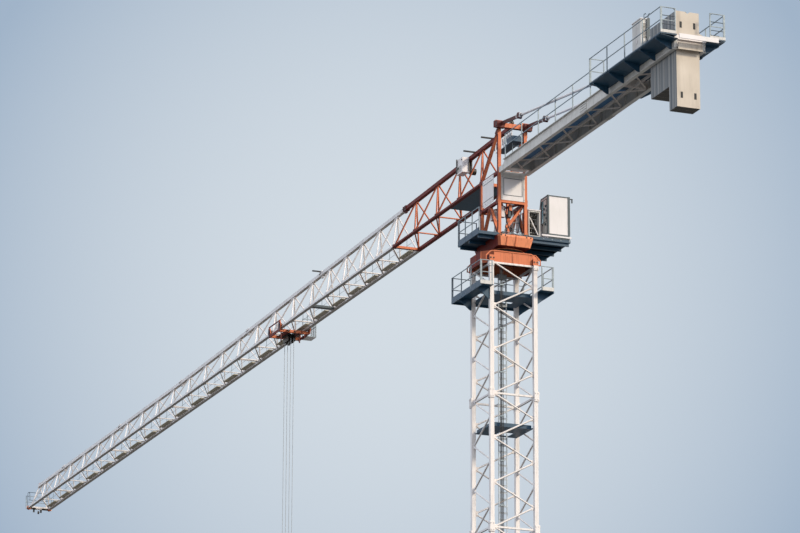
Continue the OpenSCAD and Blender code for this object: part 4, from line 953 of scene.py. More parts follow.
# %% Turret ladder
LADDER_X, LADDER_Y, LADDER_HALF = REAR + 24, -28, 15
turret_rungs = steps(DECK + 20, TOP - 80, 29)
tubes("turret_ladder", "slewing_unit", zinc,
      [[(LADDER_X, LADDER_Y + off, DECK), (LADDER_X, LADDER_Y + off, TOP - 62)]
       for off in (-LADDER_HALF, LADDER_HALF)]
      + [[(LADDER_X, LADDER_Y - LADDER_HALF, z), (LADDER_X, LADDER_Y + LADDER_HALF, z)]
         for z in turret_rungs], 1.7)
print("turret rungs", len(turret_rungs))

# %% Rear strut and the boxes inside the turret
strut_x, STRUT_T = REAR + 12, 8
strut = [(-56, MID - 4), (-56, MID - 20), (16, DECK + 46), (26, DECK + 50), (26, DECK + 56)]
prisms("rear_strut", "slewing_unit", orange_enamel,
       [plate_yz(strut, strut_x, STRUT_T),
        block((strut_x, 8, DECK), (strut_x + STRUT_T, 18, DECK + 52)),
        block((strut_x, -4, MID - 34), (strut_x + STRUT_T, 8, MID - 6))])
prisms("turret_boxes", "slewing_unit", panel_enamel,
       [block((REAR + 30, 20, MID - 60), (REAR + 52, 38, MID - 10)),
        block((20, 18, DECK + 112), (48, 44, DECK + 156)),
        block((REAR + 34, -46, DECK + 40), (REAR + 46, -36, DECK + 122))])
prisms("turret_pumps", "slewing_unit", slate_enamel,
       [block((REAR + 60, -30, DECK), (REAR + 92, -4, DECK + 46)),
        block((REAR + 30, -10, MID - 58), (REAR + 42, 4, MID - 14)),
        disc((REAR + 40, 44, DECK), UP, 11, 30)])
print("strut at", round(strut_x))

# %% Hoses and pipes on the turntable
tubes("turret_hoses", "slewing_unit", rubber,
      [[(REAR + 6, 34, MID - 20), (REAR + 4, 30, DECK + 92), (REAR + 2, 16, DECK + 48), (REAR, 2, DECK + 14),
        (REAR + 4, -20, DECK + 4)],
       [(REAR + 20, -50, MID - 30), (REAR + 18, -44, DECK + 60), (REAR + 16, -54, DECK + 6)]], 1.8)
tubes("deck_pipes", "slewing_unit", zinc,
      [[(REAR - 16, 44, DECK + 6), (REAR - 20, 8, DECK + 16), (REAR - 18, -40, DECK + 8),
        (REAR - 10, -62, DECK + 14)],
       [(REAR - 12, 30, DECK + 22), (REAR - 16, -16, DECK + 12), (REAR - 12, -50, DECK + 20)]], 2.2)
deck_boxes = [block((REAR - 20, y, DECK), (REAR - 8, y + wide, DECK + high))
              for y, wide, high in ((-66, 12, 16), (-40, 8, 9), (14, 14, 12), (46, 10, 20))]
prisms("deck_boxes", "slewing_unit", slate_enamel, deck_boxes)
print("boxes on the rear edge", len(deck_boxes))

# %% [markdown]
# ## Turret head
# The head beam carries the pins of the ties and a rope sheave, and two short arms reach over
# the jib's top chord. A dark walkway with posts runs beside it. The chord falls 18 mm in a
# metre here, so the arms' height follows from their place along it.

# %% Head pins, sheave and arms
HEAD_FALL, PIN_X, ARM_XS = 0.018, -120, (112, 316)
head_low, head_high = corners("turret_head")
tie_pins = [((PIN_X, s * SIDE + t * 8.5, TOP), (0, t, 0)) for s, t in CORNERS]
bolts("tie_head_pins", "slewing_unit", greased_steel, tie_pins, head=4.6, height=2.4)
prisms("head_sheave", "slewing_unit", greased_steel,
       [disc((REAR + 4, -4, TOP + 16), (0, 1, 0), 15, 8, 32)]
       + [block((REAR - 6, s * 8, TOP + 8), (REAR + 14, s * 5, TOP + 22)) for s in SIDES])
arms = []
for x in ARM_XS:
    z = TOP - x * HEAD_FALL
    arms.append(block((x, -8, z + 8), (x + 7, 58, z + 14)))
    arms.append(block((x - 2, -8, z - 4), (x + 9, 8, z + 9)))
prisms("head_arms", "slewing_unit", rubber, arms)
# Deep red boxes round the head's ends: partly the plates' own oxide coat, partly painted shade, as they stay
# dark on the sun side.
head_ends = []
for s in SIDES:
    y = s * (head_high.y - 17)
    head_ends.append(block((head_low.x - 1, y - 17.5, TOP - 20), (head_low.x + 20, y + 17.5, TOP + 9)))
    head_ends.append(disc((PIN_X, y - 19, TOP), (0, 1, 0), 13, 38, 20))
prisms("head_end_plates", "slewing_unit", oxide_enamel, head_ends)
print("head pins", len(tie_pins), "arms", len(ARM_XS))

# %% Head walkway
TRAY_PITCH, POST_STEP = 6, 22
tray_low, tray_high = corners("head_platform")
tray_y = (tray_low.y + tray_high.y) / 2
slats("head_tray_bars", "slewing_unit", blue_enamel,
      [((x, tray_y, tray_low.z + 4), (0, 1, 0)) for x in steps(tray_low.x + 6, tray_high.x - 6, TRAY_PITCH)],
      (46, 1.4, 2))
post_xs = steps(tray_low.x + 8, SIDE + 30, POST_STEP)
head_walk = [block((tray_high.x, tray_low.y + 4, tray_low.z), (SIDE + 34, tray_high.y - 6, tray_low.z + 3))]
head_walk += [block((x + 4, tray_high.y - 4, TOP - 52), (x + 17, tray_high.y - 2.5, TOP - 24))
              for x in post_xs]
prisms("head_walk", "slewing_unit", blue_enamel, head_walk)
prisms("head_walk_posts", "slewing_unit", panel_enamel,
       [block((x, tray_high.y - 4, tray_low.z), (x + 3, tray_high.y - 1, TOP - 14)) for x in post_xs])
print("head walkway posts", len(post_xs))

# %% [markdown]
# ## Slewing platforms
# Both platforms have a grating, toe boards and bolted post feet. The right one rests on
# deep joists, which is the dark underside that is seen from the ground, and flat sheets
# close the fields between them. The bars are slats again, the boards are blocks.

# %% Platform bars
WALK_PITCH = 8
left_low, left_high = corners("slewing_platform_left")
right_low, right_high = corners("slewing_platform_right")
WALK = left_high.z
for tag, low, high, first_x in (("left", left_low, left_high, left_low.x + 5),
                                ("right", right_low, right_high, 4)):
    slats(f"{tag}_platform_bars", "slewing_unit", blue_enamel,
          [((x, (low.y + high.y) / 2, WALK + 1), (0, 1, 0)) for x in steps(first_x, high.x - 5, WALK_PITCH)],
          (high.y - low.y - 10, BAR_W, BAR_H))
print("walkway level", round(WALK))

# %% Platform toe boards, soffits and bolts
BOARD_H, SOFFIT_FIELDS = 15, 3
boards = [block((left_low.x, left_high.y - 2, WALK), (left_high.x, left_high.y, WALK + BOARD_H)),
          block((left_high.x - 2, left_low.y + 8, WALK), (left_high.x, left_high.y, WALK + BOARD_H)),
          block((8, right_low.y, WALK), (right_high.x, right_low.y + 2, WALK + BOARD_H)),
          block((right_high.x - 2, right_low.y, WALK), (right_high.x, right_high.y - 8, WALK + BOARD_H))]
for low, high in ((left_low, left_high), (right_low, right_high)):
    field = (high.x - low.x - 8) / SOFFIT_FIELDS
    boards += [block((x, low.y + 4, DECK + 0.2), (x + field - 1.5, high.y - 4, DECK + 1.4))
               for x in steps(low.x + 4, high.x - 4, 79)[:-1]]
prisms("platform_joists", "slewing_unit", blue_enamel, boards)
feet = [((x, left_high.y, WALK - 6), (0, 1, 0)) for x in steps(left_low.x + 4, left_high.x - 4, 80)]
feet += [((x, right_low.y, WALK - 6), (0, -1, 0)) for x in steps(8, right_high.x - 4, 72)]
feet += [((right_low.x, y, WALK - 6), (-1, 0, 0)) for y in steps(right_low.y + 6, right_high.y - 70, 40)]
bolts("platform_bolts", "slewing_unit", zinc, feet, head=2.2, height=1.6)
print("platform boards", len(boards), "post bolts", len(feet))

# %% [markdown]
# ## Driver's cab
# Dark corner posts, window frames and a door turn the box of the CAD model into a cab. The
# posts follow the leaning front screen, so each side gets one slanted plate between two
# blocks. A sheet covers the rear of the near wall, and small brackets stand out from it.

# %% Cab posts
cab_low, cab_high = corners("cab_body")
glass_low = corners("cab_glass")[0]
SILL = cab_low.z + 19
SCREEN_TOP_X, SCREEN_FOOT_Z = cab_high.x - 40, SILL + 40
POST_IN, POST_OUT, REAR_POST_EXTRA = 6.5, 1.2, 3
slope = [(cab_high.x + 1, SCREEN_FOOT_Z), (SCREEN_TOP_X + 1, cab_high.z + 0.5),
         (SCREEN_TOP_X - 6, cab_high.z), (cab_high.x - 7, SCREEN_FOOT_Z)]
posts = []
for y0, y1, extra in ((cab_low.y - POST_OUT, cab_low.y + POST_IN, REAR_POST_EXTRA),
                      (cab_high.y - POST_IN, cab_high.y + POST_OUT, 0)):
    posts.append(block((cab_low.x - 1.6, y0, SILL), (cab_low.x + 7, y1 + extra, cab_high.z + 2)))
    posts.append(block((cab_low.x, y0, cab_high.z - 5), (SCREEN_TOP_X, y1, cab_high.z + 1)))
    posts.append(plate_xz(slope, y0, y1 - y0))
posts += [block((cab_low.x - 1.2, cab_low.y, cab_high.z - 4), (cab_low.x + 2, cab_high.y, cab_high.z + 1)),
          block((cab_low.x - 1.4, cab_low.y + 2, cab_low.z), (cab_low.x, cab_high.y - 2, SILL + 2))]
hook_y, hook_z = cab_low.y - 14, cab_high.z - 5
posts += [block((cab_low.x - 2, hook_y, hook_z - 4), (cab_low.x + 3, cab_low.y, hook_z)),
          block((cab_low.x - 2, hook_y, hook_z - 19), (cab_low.x + 3, hook_y + 5, hook_z))]
for x, z, reach in ((12, 126, 7), (4, 104, 5), (22, 88, 8), (8, 70, 5), (30, 116, 6), (16, 44, 6)):
    posts.append(block((cab_low.x + x, cab_high.y, SILL + z),
                       (cab_low.x + x + 7, cab_high.y + reach, SILL + z + 9)))
prisms("cab_posts", "slewing_unit", slate_enamel, posts)
print("cab posts and brackets", len(posts))

# %% Cab near wall and underframe
prisms("cab_near_wall", "slewing_unit", grey_enamel,
       [block((cab_low.x + 8, cab_high.y - 0.5, SILL + 6), (cab_low.x + 46, cab_high.y + 1, cab_high.z - 8))])
prisms("cab_underframe", "slewing_unit", panel_enamel,
       [block((cab_low.x - 5, cab_low.y - 6, SILL - 13), (cab_low.x - 1.4, cab_high.y + 30, SILL - 6))])
print("cab is", round(cab_high.z - cab_low.z), "mm high")

# %% Cab window frames and door
SEAL_OUT, BEAD = 1.4, 3
win_x0, win_x1, win_z0, win_z1 = glass_low.x, SCREEN_TOP_X - 6, SILL + 62, cab_high.z - 16
win_middle = (win_x0 + win_x1) / 2
beads = []
for y0, y1 in ((cab_low.y - SEAL_OUT, cab_low.y), (cab_high.y, cab_high.y + SEAL_OUT)):
    beads += [block((win_x0 - BEAD, y0, win_z0 - BEAD), (win_x1 + BEAD, y1, win_z0)),
              block((win_x0 - BEAD, y0, win_z1), (win_x1 + BEAD, y1, win_z1 + BEAD)),
              block((win_x0 - BEAD, y0, win_z0), (win_x0, y1, win_z1)),
              block((win_x1, y0, win_z0), (win_x1 + BEAD, y1, win_z1)),
              block((win_middle - 1, y0, win_z0), (win_middle + 1, y1, win_z1))]
door_x, door_y = cab_low.x + 10, cab_high.y
beads += [block((x, door_y, SILL + 6), (x + 2, door_y + 1.2, SILL + 59)) for x in (door_x, door_x + 50)]
beads += [block((door_x, door_y, SILL + 4), (door_x + 52, door_y + 1.2, SILL + 6)),
          block((door_x + 44, door_y, SILL + 50), (door_x + 48, door_y + 4, SILL + 54))]
prisms("cab_window_frames", "slewing_unit", rubber, beads)
print("window and door beads", len(beads))

# %% [markdown]
# On the roof sit a cooling unit, two drip rails and two lamps. Grab rails are bent tubes, so
# each is one path of four points, and the wiper is a thin straight one on the screen.

# %% Cab roof, rails and wiper
middle_y = (cab_low.y + cab_high.y) / 2
roof = [block((cab_low.x + 34, middle_y - 22, cab_high.z), (cab_low.x + 64, middle_y + 22, cab_high.z + 5))]
roof += [block((cab_low.x + 2, y, cab_high.z), (SCREEN_TOP_X - 2, y + 2, cab_high.z + 3))
         for y in (cab_low.y + 2, cab_high.y - 4)]
roof += [disc((SCREEN_TOP_X - 4, y, cab_high.z + 6), (1, 0, 0), 4.5, 7, 16)
         for y in (cab_low.y + 14, cab_high.y - 14)]
prisms("cab_roof_unit", "slewing_unit", panel_enamel, roof)
rail_y = cab_high.y + 4
grab_rails = [[(x, cab_high.y, z0), (x, rail_y, z0 + 2), (x, rail_y, z1 - 2), (x, cab_high.y, z1)]
              for x, z0, z1 in ((cab_low.x + 66, SILL + 30, SILL + 60),
                                (cab_low.x + 4, SILL + 70, SILL + 130))]
tubes("cab_grab_rails", "slewing_unit", zinc, grab_rails, 1.3)
tubes("cab_wiper", "slewing_unit", rubber,
      [[(cab_high.x - 1, middle_y, SCREEN_FOOT_Z + 4), (cab_high.x - 22, middle_y - 26, SCREEN_FOOT_Z + 88)]],
      1.0, 6)
print("roof pieces", len(roof), "grab rails", len(grab_rails))

# %% Cab interior
CONSOLE_Y = 32
prisms("cab_seat", "slewing_unit", rubber,
       [block((-94, middle_y - 20, SILL + 30), (-58, middle_y + 20, SILL + 42)),
        block((-100, middle_y - 18, SILL + 42), (-90, middle_y + 18, SILL + 100)),
        block((-84, middle_y - 8, SILL + 3), (-68, middle_y + 8, SILL + 30)),
        block((-97, middle_y - 9, SILL + 100), (-90, middle_y + 9, SILL + 116))])
console_ys = [middle_y + s * CONSOLE_Y for s in SIDES]
consoles = [block((-78, y - 8, SILL + 3), (-46, y + 8, SILL + 52)) for y in console_ys]
consoles += [block((-36, middle_y + 20, SILL + 54), (-33, middle_y + 44, SILL + 72)),
             block((-36, middle_y + 30, SILL + 3), (-32, middle_y + 34, SILL + 54))]
prisms("cab_consoles", "slewing_unit", grey_enamel, consoles)
levers = [[(-58, y, SILL + 50), (-54, y, SILL + 66)] for y in console_ys]
tubes("cab_levers", "slewing_unit", greased_steel, levers, 1.6)
print("consoles and screen", len(consoles), "levers", len(levers))

# %% [markdown]
# ## Control cabinet
# Its open rear shows rows of switchgear with cable ducts between them, under a light rain
# hood. Devices are equal blocks in rows. Every third place stays empty and every second
# device stands 3 mm deeper, which looks like mixed gear without a random draw.

# %% Switchgear
GEAR_ROW, GEAR_STEP = 21, 9
box_low, box_high = corners("control_cabinet")
gear, ducts = [], []
for k, z in enumerate(steps(box_low.z + 14, box_high.z - 26, GEAR_ROW)):
    for j, y in enumerate(steps(box_low.y + 7, box_high.y - 15, GEAR_STEP)):
        if (k + j) % 3:
            gear.append(block((box_low.x + 22 - 3 * (j % 2), y, z), (box_low.x + 39, y + 6.5, z + 11)))
    ducts.append(block((box_low.x + 28, box_low.y + 5, z + 13), (box_low.x + 39, box_high.y - 5, z + 17)))
prisms("switchgear", "slewing_unit", greased_steel, gear)
prisms("cable_ducts", "slewing_unit", grey_enamel, ducts)
print("switchgear", len(gear), "ducts", len(ducts))

# %% Cabinet hood and cables
door_stay = [(box_low.y + 5, box_low.z + 12), (box_low.y + 9, box_low.z + 12),
             (box_high.y - 5, box_high.z - 30), (box_high.y - 9, box_high.z - 30)]
prisms("cabinet_hood", "slewing_unit", panel_enamel,
       [block((box_low.x - 4, box_low.y - 2, box_high.z), (box_high.x + 2, box_high.y + 2, box_high.z + 4)),
        plate_yz(door_stay, box_low.x + 4, 2)])
cabinet_cables = [[(box_low.x + 16, y, box_low.z + 8), (box_low.x + 14, y + 4, box_low.z + 40),
                   (box_low.x + 18, y + 10, box_high.z - 40), (box_low.x + 20, y + 8, box_high.z - 8)]
                  for y in (box_low.y + 10, box_low.y + 20, box_low.y + 30)]
tubes("cabinet_cables", "slewing_unit", rubber, cabinet_cables, 1.5)
print("cabinet cables", len(cabinet_cables))

# %% [markdown]
# ## Jib measures
# The jib is seven sections of a triangular lattice, whose bays differ in length. The lengths
# repeat those of the CAD model, because a node's corners give only its ends. From
# them come the joints between the sections, the bays, and the height of the top chord,
# which falls evenly as far as the taper's end.

# %% Jib joints and bays
BAY_LEN = [265, 223, 270, 270, 270, 270, 256]
BAY_COUNT = [4, 5, 4, 4, 4, 4, 2]
JIB_START, TAPER_END, H_ROOT, H_TIP = side_high.x, 4200, 216, 138
joints = [JIB_START]
for length, count in zip(BAY_LEN, BAY_COUNT):
    joints.append(joints[-1] + length * count)


def chord_gap(x):
    """Height between the chord centres at x."""
    return H_TIP if x >= TAPER_END else H_ROOT + (H_TIP - H_ROOT) * (x - REAR) / (TAPER_END - REAR)


bays = [(i, joints[i] + k * BAY_LEN[i], joints[i] + (k + 1) * BAY_LEN[i])
        for i in range(len(BAY_LEN)) for k in range(BAY_COUNT[i])]
outer_bays = [(x0, x1) for i, x0, x1 in bays if i > 0]
print("jib joints", [round(x) for x in joints], "bays", len(bays))

# %% [markdown]
# ## Jib gussets and joints
# Each bay has a gusset under the top chord and two on each bottom chord. The sections meet
# at forks with pins, which thicken the top chord, and at nuts on the bottom chords. All are
# small blocks at the places worked out above, kept apart by colour, because the root section
# is orange and the others are white.

# %% Jib gussets
root_bays = [(x0, x1) for i, x0, x1 in bays if i == 0]
for tag, coat, places in (("root", orange_enamel, root_bays), ("outer", white_enamel, outer_bays)):
    plates = []
    for x0, x1 in places:
        middle = (x0 + x1) / 2
        z = CHORD + chord_gap(middle) - 8.5
        plates.append(block((middle - 17, -5, z - 7), (middle + 17, 5, z + 1)))
        start = x0 - 4 if x0 > JIB_START else x0
        for s in SIDES:
            inner_y = s * (SIDE - 15)
            plates.append(block((start, s * SIDE - 2, CHORD + 6), (x0 + 18, s * SIDE + 2, CHORD + 16)))
            plates.append(block((x0 + 2, inner_y - 5, CHORD - 2), (x0 + 20, inner_y + 5, CHORD + 2)))
    prisms("jib_gussets_" + tag, "slewing_unit", coat, plates)
    print("jib gussets", tag, len(plates))

# %% Jib forks, arm and pins
FORK_HALF, FORK_PARTS = 11.5, 3
forks, fork_pins = [], []
for x in joints[1:-1]:
    z = CHORD + chord_gap(x)
    forks.append(block((x - 24, -FORK_HALF, z - 11), (x - 3, FORK_HALF, z + 11.5)))
    forks.append(block((x + 3, -FORK_HALF, z - 11), (x + 14, FORK_HALF, z + 11.5)))
    forks.append(block((x - 16, -4, z - 20), (x + 8, 4, z - 11)))
    for s in SIDES:
        fork_pins += [((x + dx, s * 10.5, z), (0, s, 0)) for dx in (-10, 10)]
        fork_pins += [((x + dx, s * SIDE, CHORD + 9), (0, 0, 1)) for dx in (-9, 9)]
prisms("top_chord_root_joint", "slewing_unit", oxide_enamel, forks[:FORK_PARTS])
prisms("top_chord_joints", "slewing_unit", white_enamel, forks[FORK_PARTS:])
arm_x, arm_z = joints[2], CHORD + chord_gap(joints[2]) + 8
prisms("top_chord_arm", "slewing_unit", rubber, [block((arm_x - 6, -4, arm_z), (arm_x, 54, arm_z + 6))])
bolts("jib_joint_pins", "slewing_unit", greased_steel, fork_pins, head=3.6, height=3.0)
print("fork pins", len(fork_pins))

# %% Cross beams at the first joints
for tag, x, width, coat in (("first", joints[1], 10, orange_enamel), ("second", joints[2], 22, slate_enamel)):
    prisms("jib_cross_beam_" + tag, "slewing_unit", coat,
           [block((x - 4 - width, 7 - SIDE, CHORD - 5), (x - 4, SIDE - 7, CHORD + 6))])
print("cross beams at", round(joints[1]), round(joints[2]))

# %% [markdown]
# ## Jib walkway
# In each bay lies a strip of grating on the right bottom chord, with gaps at the bays' ends.
# Two wires on thin posts run beside it, and a power cable runs along the left chord. Bars
# are slats again, and posts, wires and cable are tubes, thin but real.

# %% Jib walkway bars
STRIP_SHARE, STRIP_PITCH = 0.62, 8
walk_low, walk_high = corners("jib_walkway")
strip_y = (walk_low.y + walk_high.y) / 2
strip_bars = []
for x0, x1 in outer_bays:
    gap = (1 - STRIP_SHARE) / 2 * (x1 - x0)
    strip_bars += [((x, strip_y, walk_high.z + 0.8), (0, 1, 0))
                   for x in steps(x0 + gap + 2, x1 - gap - 2, STRIP_PITCH)]
slats("walkway_bars", "slewing_unit", dusty_zinc, strip_bars, (22, 1.8, 1.6))
print("walkway bars", len(strip_bars))

# %% Safety wires and power cable
WIRE_LEVELS, POST_H, POST_LEAN = (42, 83), 84, 0.99
wire_y, cable_in = 12 - SIDE, SIDE - 10
safety_posts = [[(x, wire_y, walk_high.z), (x, wire_y * POST_LEAN, walk_high.z + POST_H)]
                for x in [(x0 + x1) / 2 for x0, x1 in outer_bays]]
wire_xs = (joints[1] + 20, joints[3], joints[5], joints[7] - 40)
tubes("safety_posts", "slewing_unit", zinc, safety_posts, 1.3, 6)
tubes("safety_wires", "slewing_unit", wire_rope,
      [[(x, wire_y, walk_high.z + level) for x in wire_xs] for level in WIRE_LEVELS], 0.7, 6)
tubes("jib_power_cable", "slewing_unit", rubber,
      [[(joints[0] + 10, cable_in, CHORD + 4), (joints[7] - 8, cable_in, CHORD + 4)]], 2.0)
print("safety posts", len(safety_posts))

# %% [markdown]
# ## Root deck and trolley winch
# A dark deck closes the root section's floor, and the trolley winch hangs in a white case on
# the top chord. Cleats stiffen the deck. The case gets arms that grip the chord, louvres and
# a rope drum on its far side.

# %% Root deck bars
deck_low, deck_high = corners("jib_root_deck")
deck_bars = [((x, 0, deck_low.z + 1.2), (0, 1, 0)) for x in steps(deck_low.x + 4, deck_high.x - 4, 46)]
slats("root_deck_edges", "slewing_unit", blue_enamel, deck_bars, (108, 4, 2.6))
print("root deck bars", len(deck_bars))

# %% Trolley winch case
CHORD_SIDE = 8.4
case_low, case_high = corners("trolley_winch")
case_x = (case_low.x + case_high.x) / 2
case_arms = [block((x, -11, case_high.z - 14), (x + 6, case_high.y + 2, case_high.z - 8))
             for x in (case_low.x + 6, case_high.x - 12)]
clamp_x = case_high.x - 2
case_arms += [block((clamp_x - 6, case_high.y, case_low.z + 6), (clamp_x, case_high.y + 4, case_high.z + 4)),
              block((clamp_x - 24, case_high.y, case_low.z + 24),
                    (clamp_x, case_high.y + 5, case_low.z + 30))]
case_arms += [block((x, CHORD_SIDE, case_low.z + 4), (x + 6, 12, case_high.z - 8))
              for x in (case_low.x - 6, case_high.x)]
prisms("cabinet_arms", "slewing_unit", greased_steel, case_arms)
louvres = [((case_x, case_high.y + 0.5, z), (1, 0, 0)) for z in steps(case_low.z + 10, case_low.z + 34, 4)]
slats("case_louvres", "slewing_unit", grey_enamel, louvres, (44, 1.4, 1.6))
prisms("trolley_rope_drum", "slewing_unit", greased_steel,
       [disc((case_x, -10, case_low.z + 16), (0, -1, 0), 15, 26, 32),
        block((case_low.x + 12, -12, case_low.z + 12), (case_high.x - 12, -CHORD_SIDE, case_high.z - 6))])
print("case arms", len(case_arms), "louvres", len(louvres))

# %% [markdown]
# ## Jib tip
# At the tip sit the rope's return sheave and its brackets, orange caps on the bottom chords,
# a lamp, and a railing that guards the end. The guard's side hoops are bent tubes, drawn as
# paths of three points.

# %% Jib tip fittings
CAP_Y = 64
tip_low, tip_high = corners("jib_tip")
brackets = [block((tip_low.x + 8, y, CHORD - 24), (tip_low.x + 16, y + 9, CHORD - 6)) for y in (-20, 24)]
brackets += [block((tip_low.x - 20, y - 4, CHORD - 8), (tip_low.x, y + 4, CHORD - 3)) for y in (-30, 30)]
brackets.append(disc((tip_low.x + 12, -4, CHORD - 24), (0, 1, 0), 9, 8, 24))
brackets += [block((tip_low.x - 7, y - 15, CHORD - 10), (tip_low.x + 3, y + 15, CHORD + 3))
             for y in (-35, 35)]
prisms("tip_brackets", "slewing_unit", greased_steel, brackets)
prisms("tip_end_caps", "slewing_unit", orange_enamel,
       [disc((tip_low.x - 9, s * CAP_Y, CHORD - 2), (1, 0, 0), 12, 14, 20) for s in SIDES])
print("tip brackets", len(brackets))

# %% Guard and lamp at the jib's end
LAMP_R = 3.4
guard_x = tip_high.x - 3
guard = [[(guard_x, -60, CHORD + level), (guard_x, 60, CHORD + level)] for level in (50, 97)]
for s in SIDES:
    corner = (guard_x, s * 60, CHORD + 97)
    guard.append([(guard_x, s * 66, CHORD + 6), (guard_x, s * 66, CHORD + 92), corner])
    guard.append([(guard_x, s * 52, CHORD + 50), (guard_x, s * 54, CHORD + 88), corner])
tubes("tip_guard", "slewing_unit", slate_enamel, guard, 1.6)
lamp_foot = (tip_low.x + 4, 0, tip_high.z - 1)
prisms("tip_lamp", "slewing_unit", orange_enamel,
       [disc(lamp_foot, UP, LAMP_R, 9, 16), disc(lamp_foot, UP, LAMP_R + 1.2, 2, 16)])
print("guard bars", len(guard))

# %% [markdown]
# ## Counter-jib beams
# The counter-jib hangs on two I-beams. Stiffeners stand between their flanges, and a bolted
# splice halfway shows that they are made in two lengths. Slats at an even pitch make the
# stiffeners, and the splice is two plates with rows of bolts.

# %% Beam stiffeners
STIFFENER_PITCH = 124
beams_low, beams_high = corners("counterjib_beams")
walkdeck_low, walkdeck_high = corners("counterjib_deck")
END, BEAM_OUT, BEAM_LOW, BEAM_TOP = beams_low.x, beams_high.y, beams_low.z, walkdeck_low.z
BEAM_MID = (BEAM_LOW + BEAM_TOP) / 2
stiffeners = [((x, s * (SIDE - 5), BEAM_MID), (1, 0, 0)) for s in SIDES
              for x in steps(END + 20, walkdeck_high.x - 30, STIFFENER_PITCH)]
slats("beam_stiffeners", "slewing_unit", grey_enamel, stiffeners, (3, 7.6, BEAM_TOP - BEAM_LOW - 5))
print("beam stiffeners", len(stiffeners))

# %% Beam splices
SPLICE_HALF, BOLT_XS = 34, (-26, -15, -5, 5, 15, 26)
splice_x = (END + walkdeck_high.x) / 2 + 30
splices, splice_bolts = [], []
for s in SIDES:
    splices.append(block((splice_x - SPLICE_HALF, s * (SIDE + 1), BEAM_LOW + 8),
                         (splice_x + SPLICE_HALF, s * (SIDE + 4), BEAM_TOP - 8)))
    splices.append(block((splice_x - SPLICE_HALF, s * SIDE - 8, BEAM_LOW - 2),
                         (splice_x + SPLICE_HALF, s * SIDE + 8, BEAM_LOW)))
    for dx in BOLT_XS:
        x = splice_x + dx
        splice_bolts += [((x, s * (SIDE + 4), BEAM_MID + dz), (0, s, 0)) for dz in (-11, 0, 11)]
        splice_bolts += [((x, s * SIDE + dy, BEAM_LOW - 2), (0, 0, -1)) for dy in (-5, 5)]
prisms("beam_splices", "slewing_unit", grey_enamel, splices)
bolts("splice_bolts", "slewing_unit", greased_steel, splice_bolts, head=1.8, height=1.4)
print("splice bolts", len(splice_bolts))

# %% [markdown]
# ## Counter-jib decks
# The middle deck and the two rear platforms carry grating. Pale end boards close the
# platforms, and sloping sheets under them are the dark undersides that the camera sees.

# %% Deck and platform bars
DECK_PITCH, DECK_BAR = 9, 1.8
plat_low, plat_high = corners("counterjib_platforms")
PLAT_TOP = plat_high.z
slats("deck_bars", "slewing_unit", blue_enamel,
      [((x, 0, walkdeck_high.z + 0.9), (0, 1, 0))
       for x in steps(walkdeck_low.x + 5, walkdeck_high.x - 5, DECK_PITCH)], (126, DECK_BAR, DECK_BAR))
rear_xs = steps(plat_low.x + 5, plat_high.x - 5, DECK_PITCH)
for tag, s in (("right", -1), ("left", 1)):
    slats(f"rear_platform_bars_{tag}", "slewing_unit", blue_enamel,
          [((x, s * (BEAM_OUT + plat_high.y) / 2, PLAT_TOP + 0.9), (0, 1, 0)) for x in rear_xs],
          (plat_high.y - BEAM_OUT - 6, DECK_BAR, DECK_BAR))
print("rear platform bars", 2 * len(rear_xs))

# %% Platform end boards, soffits and bolts
SOFFIT_STEP = 230
soffit_len = (plat_high.x - plat_low.x - 4) / 3 - 2
end_boards, soffits = [], []
for s in SIDES:
    rim_y, root_y = s * (plat_high.y - 2), s * (BEAM_OUT - 6)
    end_boards += [block((x, s * (BEAM_OUT + 4), PLAT_TOP), (x + 2, s * plat_high.y, PLAT_TOP + 12))
                   for x in (plat_low.x - 1, plat_high.x - 1)]
    slope = [(rim_y, PLAT_TOP - 7), (rim_y, PLAT_TOP - 8.5), (root_y, PLAT_TOP - 19),
             (root_y, PLAT_TOP - 17.5)]
    soffits += [plate_yz(slope, x, soffit_len)
                for x in steps(plat_low.x + 2, plat_high.x - 2, SOFFIT_STEP)[:-1]]
prisms("counterjib_end_boards", "slewing_unit", grey_enamel, end_boards)
prisms("counterjib_soffits", "slewing_unit", blue_enamel, soffits)
rear_feet = [((x, s * plat_high.y, PLAT_TOP - 2.5), (0, s, 0)) for s in SIDES
             for x in steps(plat_low.x + 2, plat_high.x - 2, 172)]
bolts("rear_platform_bolts", "slewing_unit", zinc, rear_feet, head=2.0, height=1.5)
print("soffit sheets", len(soffits), "post bolts", len(rear_feet))

# %% [markdown]
# ## Counter-jib root and end
# Cross beams close the frame at the turret, a sheet covers the winch from below, and at the
# far end a light bar, a hood and two corbels finish the beams. A cable tray runs along the
# left beam. All are straight plates, so blocks draw them, and triangles the corbels.

# %% Root beams and soffit under the winch
slab_front_x = corners("counterweight_short")[1].x
prisms("counterjib_root_beam", "slewing_unit", grey_enamel,
       [block((walkdeck_high.x - 14, 2 - SIDE, BEAM_LOW + 6), (walkdeck_high.x - 2, SIDE - 2, BEAM_TOP - 3)),
        block((REAR - 12, 4 - SIDE, CHORD - 16), (REAR - 9, SIDE - 4, CHORD + 4))])
prisms("counterjib_root_plate", "slewing_unit", panel_enamel,
       [block((walkdeck_high.x + 6, 12 - SIDE, BEAM_LOW + 14),
              (walkdeck_high.x + 50, SIDE - 12, BEAM_LOW + 17))])
prisms("winch_soffit", "slewing_unit", blue_enamel,
       [block((slab_front_x + 3, 9 - SIDE, BEAM_TOP - 9), (walkdeck_low.x + 2, SIDE - 9, BEAM_TOP - 6))])
print("winch soffit", round(walkdeck_low.x - slab_front_x), "mm long")

